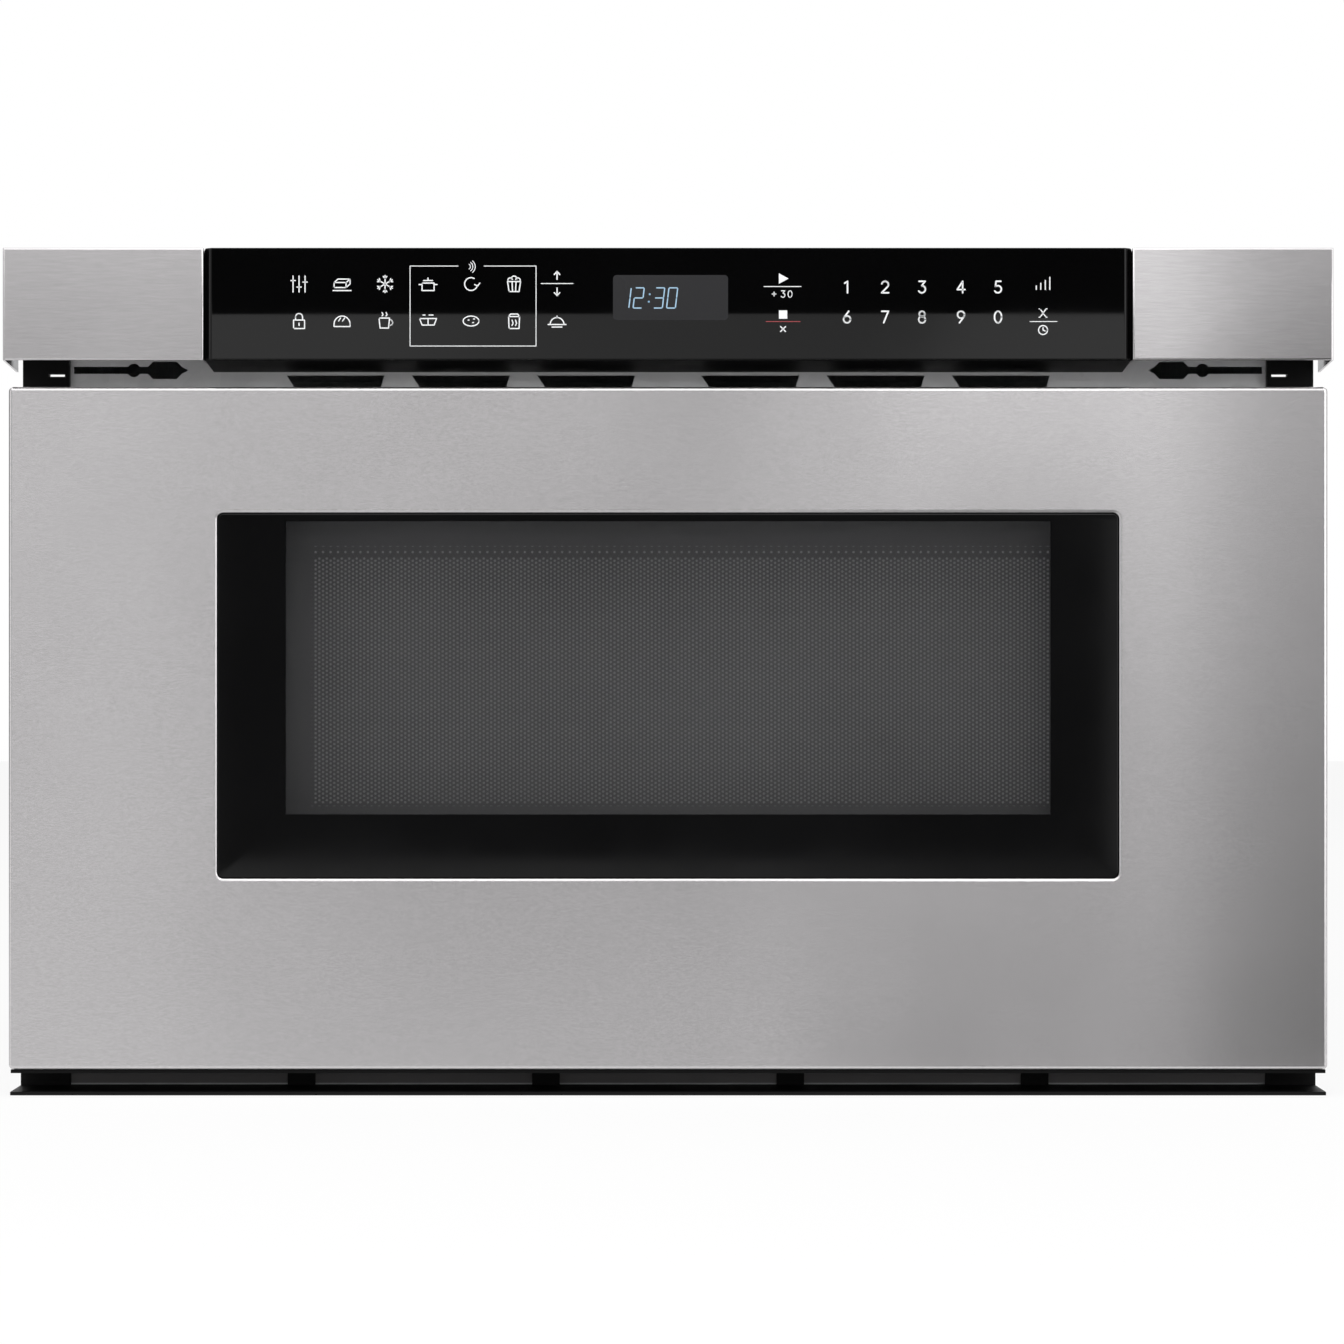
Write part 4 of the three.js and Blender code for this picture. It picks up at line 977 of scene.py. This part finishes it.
def cut_opening(obj, y0, y1):
    """Cuts the opening behind the window through the wall between two depths, in mm."""
    outline = rounded_outline(*TUB_WINDOW, 8, 6)
    bm = bmesh.new()
    rings = [[(x, y, z) for x, z in outline] for y in (y0, y1)]
    loft(bm, rings, cap_first=True, cap_last=True)
    bmesh.ops.recalc_face_normals(bm, faces=bm.faces)
    cutter = object_from(bm, "opening")
    modifier = obj.modifiers.new("opening", "BOOLEAN")
    modifier.operation = "DIFFERENCE"
    modifier.solver = "EXACT"
    modifier.object = cutter
    bpy.context.view_layer.update()
    apply_modifiers(obj)
    mesh = cutter.data
    bpy.data.objects.remove(cutter)
    bpy.data.meshes.remove(mesh)


def drawer_tub():
    """The pan: an enamelled tub with round corners and a rolled rim, open at the window."""
    low, high = (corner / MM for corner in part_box("drawer_pan"))
    low.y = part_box("barrier_sheet")[1].y / MM + 0.1

    def ring(inset, z):
        radius = max(TUB_CORNER - inset, 1.5)
        left, right = low.x + inset, high.x - inset
        outline = rounded_outline(left, right, low.y + inset, high.y - inset, radius, 8)
        return [(x, y, z) for x, y in outline]

    def bowl(inset, steps):
        """Rings of the round corner between the wall and the floor, on a face of the sheet."""
        radius = TUB_FILLET - inset
        return [
            ring(inset + radius * (1 - math.sin(a)), low.z + inset + radius * (1 - math.cos(a)))
            for a in steps
        ]

    turn = [math.radians(90 * k / 6) for k in range(7)]
    under_roll = high.z - 2 * TUB_ROLL
    rings = bowl(0, turn)
    rings += [ring(0, under_roll), ring(0.2, high.z - 0.6), ring(0.8, high.z)]
    rings += [ring(2.2, high.z), ring(2.9, high.z - 0.6), ring(2.9, under_roll + 0.4)]
    rings.append(ring(TUB_WALL, under_roll - 1))
    rings += bowl(TUB_WALL, reversed(turn))
    bm = bmesh.new()
    loft(bm, rings, cap_first=True, cap_last=True)
    tub = finish_piece(bm, "drawer_tub", "drawer", "enamel_grey", ENAMEL, "drawer_pan")
    cut_opening(tub, low.y - 5, low.y + 8)


drawer_tub()


# ---- Other pieces that show, their edges eased ----
for name in ("outer_cabinet", "rear_cover", "base_pan"):
    piece_from_node(name, [(every_edge, 0.4, 2)])
SHADE_TOP_HEIGHT = 14 * MM  # the front plate is dark below this height: painted shade, seen through the vent trim's slots
plate = piece_from_node("front_frame", [(every_edge, 0.25, 2)], material=LIT_PLATE_ZINC)
paint_below(plate, SHADE_TOP_HEIGHT, SHADE_PLATE_FOOT)
for name in ("cavity_liner", "choke_cover", "drawer_inner_frame", "cord_gland"):
    piece_from_node(name, [(every_edge, 0.4, 2)])


# ---- Sheet-metal detail of the body: pressed beads, lapped edges, screws ----
body_low, body_high = (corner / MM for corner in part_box("outer_cabinet"))
FIELD_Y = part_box("rear_cover")[1].y / MM - 3  # the rear cover's dished field


def on_plane(centre, along, normal):
    """Turns (u, v, height) on a plane, in mm, into a point in space."""
    centre, along, normal = Vector(centre), Vector(along), Vector(normal)
    across = normal.cross(along)
    return lambda u, v, height: centre + along * u + across * v + normal * height


def bead(bm, centre, along, normal, length, width, rise):
    """A pressed rib with rounded ends."""
    at = on_plane(centre, along, normal)
    reach = (length - width) / 2

    def stadium(radius, height):
        points = arc(reach, 0, radius, -90, 90, 10) + arc(-reach, 0, radius, 90, 270, 10)
        return [at(u, v, height) for u, v in points]

    rings = [stadium(width / 2, -0.3)]
    for k in range(7):
        radius = width / 2 * (1 - 0.62 * (k / 6) ** 1.5)
        rings.append(stadium(radius, rise * math.sin(math.radians(15 * k))))
    loft(bm, rings, cap_first=True, cap_last=True)


def screw(bm, centre, normal):
    """A hexagon-headed sheet-metal screw with its pressed washer."""
    side = (0, 0, 1) if abs(normal[2]) < 0.5 else (1, 0, 0)
    at = on_plane(centre, side, normal)

    def ring(radius, height, count=24):
        turn = [2 * math.pi * k / count for k in range(count)]
        return [at(radius * math.cos(a), radius * math.sin(a), height) for a in turn]

    washer = [(4.6, -0.2), (4.6, 0.45), (4.2, 0.7), (3.0, 0.8)]
    head = [(3.7, 0.7), (3.7, 2.2), (3.35, 2.55), (2.3, 2.6), (1.9, 2.2)]
    loft(bm, [ring(*step) for step in washer], cap_first=True, cap_last=True)
    loft(bm, [ring(*step, 6) for step in head], cap_first=True, cap_last=True)


def strip(bm, low, high):
    """A flat strip of sheet with eased edges, between two corners."""
    ease = 0.35
    x0, y0, z0 = low
    x1, y1, z1 = high

    def ring(inset, z):
        outline = rounded_outline(x0 + inset, x1 - inset, y0 + inset, y1 - inset, 0.4, 2)
        return [(x, y, z) for x, y in outline]

    rings = [ring(ease, z0), ring(0, z0 + ease), ring(0, z1 - ease), ring(ease, z1)]
    loft(bm, rings, cap_first=True, cap_last=True)


TOP_BEADS, SIDE_BEADS, REAR_BEADS = (-130, -20, 90), (70, 165), (208, 262)
beads = bmesh.new()
for y in TOP_BEADS:
    bead(beads, (0, y, body_high.z), (1, 0, 0), (0, 0, 1), 430, 22, 1.8)
for side in (-1, 1):
    for z in SIDE_BEADS:
        bead(beads, (side * body_high.x, -10, z), (0, 1, 0), (side, 0, 0), 400, 22, 1.8)
for z in REAR_BEADS:
    bead(beads, (0, FIELD_Y, z), (1, 0, 0), (0, 1, 0), 380, 20, 1.6)
finish_piece(beads, "pressed_beads", "chassis", "steel_galvanised", GALVANISED)

LAP = 0.8  # thickness of the sheet lapped over the body
LAP_FRONT, LAP_BACK = 279, 295
LAP_MIDDLE = (LAP_FRONT + LAP_BACK) / 2
FOOT_FRONT, FOOT_HEIGHT = -249, 15
laps = bmesh.new()
strip(
    laps,
    (body_low.x, LAP_FRONT, body_high.z - 0.1),
    (body_high.x, LAP_BACK, body_high.z + LAP),
)
for side in (-1, 1):
    inner, outer = sorted((side * (body_high.x - 0.1), side * (body_high.x + LAP)))
    strip(laps, (inner, LAP_FRONT, 0.5), (outer, LAP_BACK, body_high.z))
    strip(laps, (inner, FOOT_FRONT, 0.5), (outer, LAP_FRONT - 0.5, FOOT_HEIGHT))
finish_piece(laps, "folded_laps", "chassis", "steel_galvanised", GALVANISED)

FRONT_ROW = -238  # y of the screws just behind the front plate
RIM_ROWS = (24, 346)  # z of the screws along the bottom and top of the rear field
BACK, UP = (0, 1, 0), (0, 0, 1)
screws = bmesh.new()
for side in (-1, 1):
    outward = (side, 0, 0)
    lap_x = side * (body_high.x + LAP)
    for y in (-225, -110, 5, 120, 235):
        screw(screws, (lap_x, y, FOOT_HEIGHT / 2), outward)
    for z in (55, 150, 245, 345):
        screw(screws, (lap_x, LAP_MIDDLE, z), outward)
    for z in (45, 190, 330):
        screw(screws, (side * body_high.x, FRONT_ROW, z), outward)
    for z in (24, 130, 236, 346):
        screw(screws, (side * 257, FIELD_Y, z), BACK)
for x in (-210, -105, 0, 105, 210):
    screw(screws, (x, LAP_MIDDLE, body_high.z + LAP), UP)
    screw(screws, (x, FRONT_ROW, body_high.z), UP)
for x in (-130, 0, 130):
    for z in RIM_ROWS:
        screw(screws, (x, FIELD_Y, z), BACK)
finish_piece(screws, "body_screws", "chassis", "steel_galvanised", SCREW)

LABEL_SHEET = 0.25
label = bmesh.new()
outline = rounded_outline(-190, -90, 292, 336, 3)
rings = [[(x, FIELD_Y + rise, z) for x, z in outline] for rise in (-0.05, LABEL_SHEET)]
loft(label, rings, cap_first=True, cap_last=True)
finish_piece(label, "blank_label", "chassis", "plastic_white", WHITE_PLASTIC)


# ---- Stage: pale floor, white surroundings and soft lamps ----
def seen(tree):
    """1 for the camera and for what metal and glass mirror or let through, else 0."""
    path = tree.nodes.new("ShaderNodeLightPath")
    total = path.outputs["Is Camera Ray"]
    for name in ("Is Glossy Ray", "Is Transmission Ray"):
        node = tree.nodes.new("ShaderNodeMath")
        node.operation = "ADD"
        node.use_clamp = True
        link(tree, total, node.inputs[0])
        link(tree, path.outputs[name], node.inputs[1])
        total = node.outputs[0]
    return total


AMBIENT = 0.5  # the surroundings light with this, and show as white
FLOOR_GLOW = 0.88  # how much of the floor's look is white instead of lit
world = bpy.data.worlds.new("studio")
world.use_nodes = True
scene.world = world
tree = world.node_tree
background = tree.nodes["Background"]
background.inputs["Color"].default_value = (1, 1, 1, 1)
link(tree, span(tree, seen(tree), AMBIENT, 1.0, 0, 1), background.inputs["Strength"])

floor_material, tree, shader = new_material("floor")
tree.nodes.remove(shader)
output = tree.nodes["Material Output"]
matte = tree.nodes.new("ShaderNodeBsdfDiffuse")
matte.inputs["Color"].default_value = (0.9, 0.9, 0.9, 1)
glow = tree.nodes.new("ShaderNodeEmission")
glow.inputs["Color"].default_value = (1, 1, 1, 1)
mix = tree.nodes.new("ShaderNodeMixShader")
link(tree, span(tree, seen(tree), 0.0, FLOOR_GLOW, 0, 1), mix.inputs["Fac"])
link(tree, matte.outputs["BSDF"], mix.inputs[1])
link(tree, glow.outputs["Emission"], mix.inputs[2])
link(tree, mix.outputs["Shader"], output.inputs["Surface"])


def card(name, corners, material):
    """A flat sheet of the stage."""
    mesh = bpy.data.meshes.new(name)
    mesh.from_pydata(corners, [], [(0, 1, 2, 3)])
    mesh.materials.append(material)
    obj = bpy.data.objects.new(name, mesh)
    scene.collection.objects.link(obj)
    return obj


FLOOR_HALF = 8
card("floor", [(u * FLOOR_HALF, v * FLOOR_HALF, 0) for u, v in SQUARE], floor_material)

# Reflectors: cards that show only in what shines. Those in front are graded across the
# picture, by the x of the front face that mirrors each of their points.
FACE_X = 0.31
MIRRORED_CAMERA_Y = 2 * FRONT_Y - camera.location.y


def reflector_material(name, stops, strength):
    """Light graded from one side to the other; stops are (x on the front face, brightness)."""
    material, tree, shader = new_material(name)
    tree.nodes.remove(shader)
    coordinates = tree.nodes.new("ShaderNodeTexCoord")
    split = tree.nodes.new("ShaderNodeSeparateXYZ")
    link(tree, coordinates.outputs["Object"], split.inputs["Vector"])
    away = tree.nodes.new("ShaderNodeMath")
    away.operation = "SUBTRACT"
    away.inputs[0].default_value = MIRRORED_CAMERA_Y
    link(tree, split.outputs["Y"], away.inputs[1])
    slope = tree.nodes.new("ShaderNodeMath")
    slope.operation = "DIVIDE"
    link(tree, split.outputs["X"], slope.inputs[0])
    link(tree, away.outputs[0], slope.inputs[1])
    reach = FACE_X / CAMERA_DISTANCE
    across = span(tree, slope.outputs[0], 0, 1, -reach, reach)
    levels = [((x / FACE_X + 1) / 2, (level / strength,) * 3) for x, level in stops]
    glow = tree.nodes.new("ShaderNodeEmission")
    glow.inputs["Strength"].default_value = strength
    link(tree, ramp(tree, across, levels), glow.inputs["Color"])
    link(tree, glow.outputs["Emission"], tree.nodes["Material Output"].inputs["Surface"])
    return material


def reflector(name, corners, stops, strength=2.5):
    """A card that only shiny surfaces mirror; strength is at least its brightest stop."""
    obj = card(name, corners, reflector_material(name, stops, strength))
    obj.visible_camera = False
    obj.visible_diffuse = False
    obj.visible_transmission = False
    obj.visible_shadow = False
    return obj


def upright(x0, y0, x1, y1, z0, z1):
    """Corners of a wall between two points of the floor plan."""
    return [(x0, y0, z0), (x1, y1, z0), (x1, y1, z1), (x0, y0, z1)]


def even(level):
    """Stops of the same brightness all over."""
    return [(-0.3, level), (0.3, level)]


WALL_Y = -3.2
CARD_HALF = 1.3  # half the width of the floor's cards
CARD_JOIN = 0.7  # height at which the middle card meets the upper one
SIDE_HIGH = 1.5
UPPER = [
    (-0.30, 1.2), (-0.23, 1.28), (-0.19, 1.62), (-0.149, 1.64), (-0.04, 1.6), (-0.015, 1.27),
    (0.036, 1.1), (0.042, 1.76), (0.095, 1.64), (0.103, 2.75), (0.215, 2.3), (0.235, 1.85),
    (0.262, 1.02), (0.30, 0.98),
]
LOWER = [
    (-0.30, 0.88), (-0.15, 0.80), (-0.04, 0.75), (0.05, 0.68), (0.08, 0.55), (0.12, 0.42),
    (0.20, 0.38), (0.23, 0.25), (0.26, 0.13), (0.30, 0.1),
]
MIDDLE = [
    (-0.30, 0.36), (-0.23, 0.30), (-0.212, 0.03), (0.207, 0.03), (0.214, 0.8), (0.243, 0.55),
    (0.27, 0.32), (0.30, 0.22),
]
CARD_LOW_Y = -2.55  # the window's black border mirrors nothing of the floor nearer than this


def sloping(y0, z0, y1, z1):
    """Corners of a card between two lines across the stage, given by their y and z."""
    return [
        (-CARD_HALF, y0, z0), (CARD_HALF, y0, z0),
        (CARD_HALF, y1, z1), (-CARD_HALF, y1, z1),
    ]


reflector("upper_reflector", upright(-2.0, WALL_Y, 2.0, WALL_Y, CARD_JOIN, 2.2), UPPER, 3.0)
reflector("middle_reflector", sloping(CARD_LOW_Y, 0.0, WALL_Y, CARD_JOIN), MIDDLE)
reflector("floor_reflector", sloping(CARD_LOW_Y, 0.003, -0.31, 0.003), LOWER)
SIDE_CARDS = [  # name, the ends of its foot, brightness, strength
    ("right_dark", 1.31, WALL_Y, 1.5, -2.92, 0.15, 1.0),
    ("right_bright", 1.52, -2.9, 1.75, -0.05, 2.3, 2.5),
    ("right_side", 1.75, -0.04, 1.75, 2.4, 0.1, 1.0),
    ("left_dark", -1.31, WALL_Y, -1.7, -1.3, 0.5, 1.0),
    ("left_bright", -1.7, -1.28, -1.7, -0.2, 1.1, 1.5),
    ("left_side", -1.7, -0.19, -1.7, 2.4, 0.2, 1.0),
]
for name, x0, y0, x1, y1, level, strength in SIDE_CARDS:
    reflector(name, upright(x0, y0, x1, y1, 0.0, SIDE_HIGH), even(level), strength)
# Keeps the bright cards in front off the sheet of the top, seen from behind.
reflector("above_front", upright(-1.6, -0.285, 1.6, -0.285, 0.39, 1.9), even(0.85), 1.0)


def softbox(name, place, target, width, height, brightness):
    """A lamp of an even brightness, in the same unit as the white of the background."""
    data = bpy.data.lights.new(name, "AREA")
    data.shape = "RECTANGLE"
    data.size, data.size_y = width, height
    data.energy = brightness * width * height * math.pi
    obj = bpy.data.objects.new(name, data)
    obj.location = place
    aim = Vector(target) - Vector(place)
    obj.rotation_euler = aim.to_track_quat("-Z", "Y").to_euler()
    scene.collection.objects.link(obj)
    return obj


softbox("overhead", (0, -1.7, 2.2), (0, -1.7, 0), 3.2, 2.4, 1.7)
softbox("key", (-2.0, -2.0, 1.5), (0, 0, 0.2), 1.2, 1.2, 2.0)
front = softbox("front", (0, -2.6, 0.45), (0, 0, 0.2), 1.6, 0.8, 2.5)
front.visible_glossy = False
softbox("back", (0.5, 2.6, 2.2), (0, 0, 0.2), 2.0, 1.5, 1.2)

scene.view_settings.view_transform = "Standard"
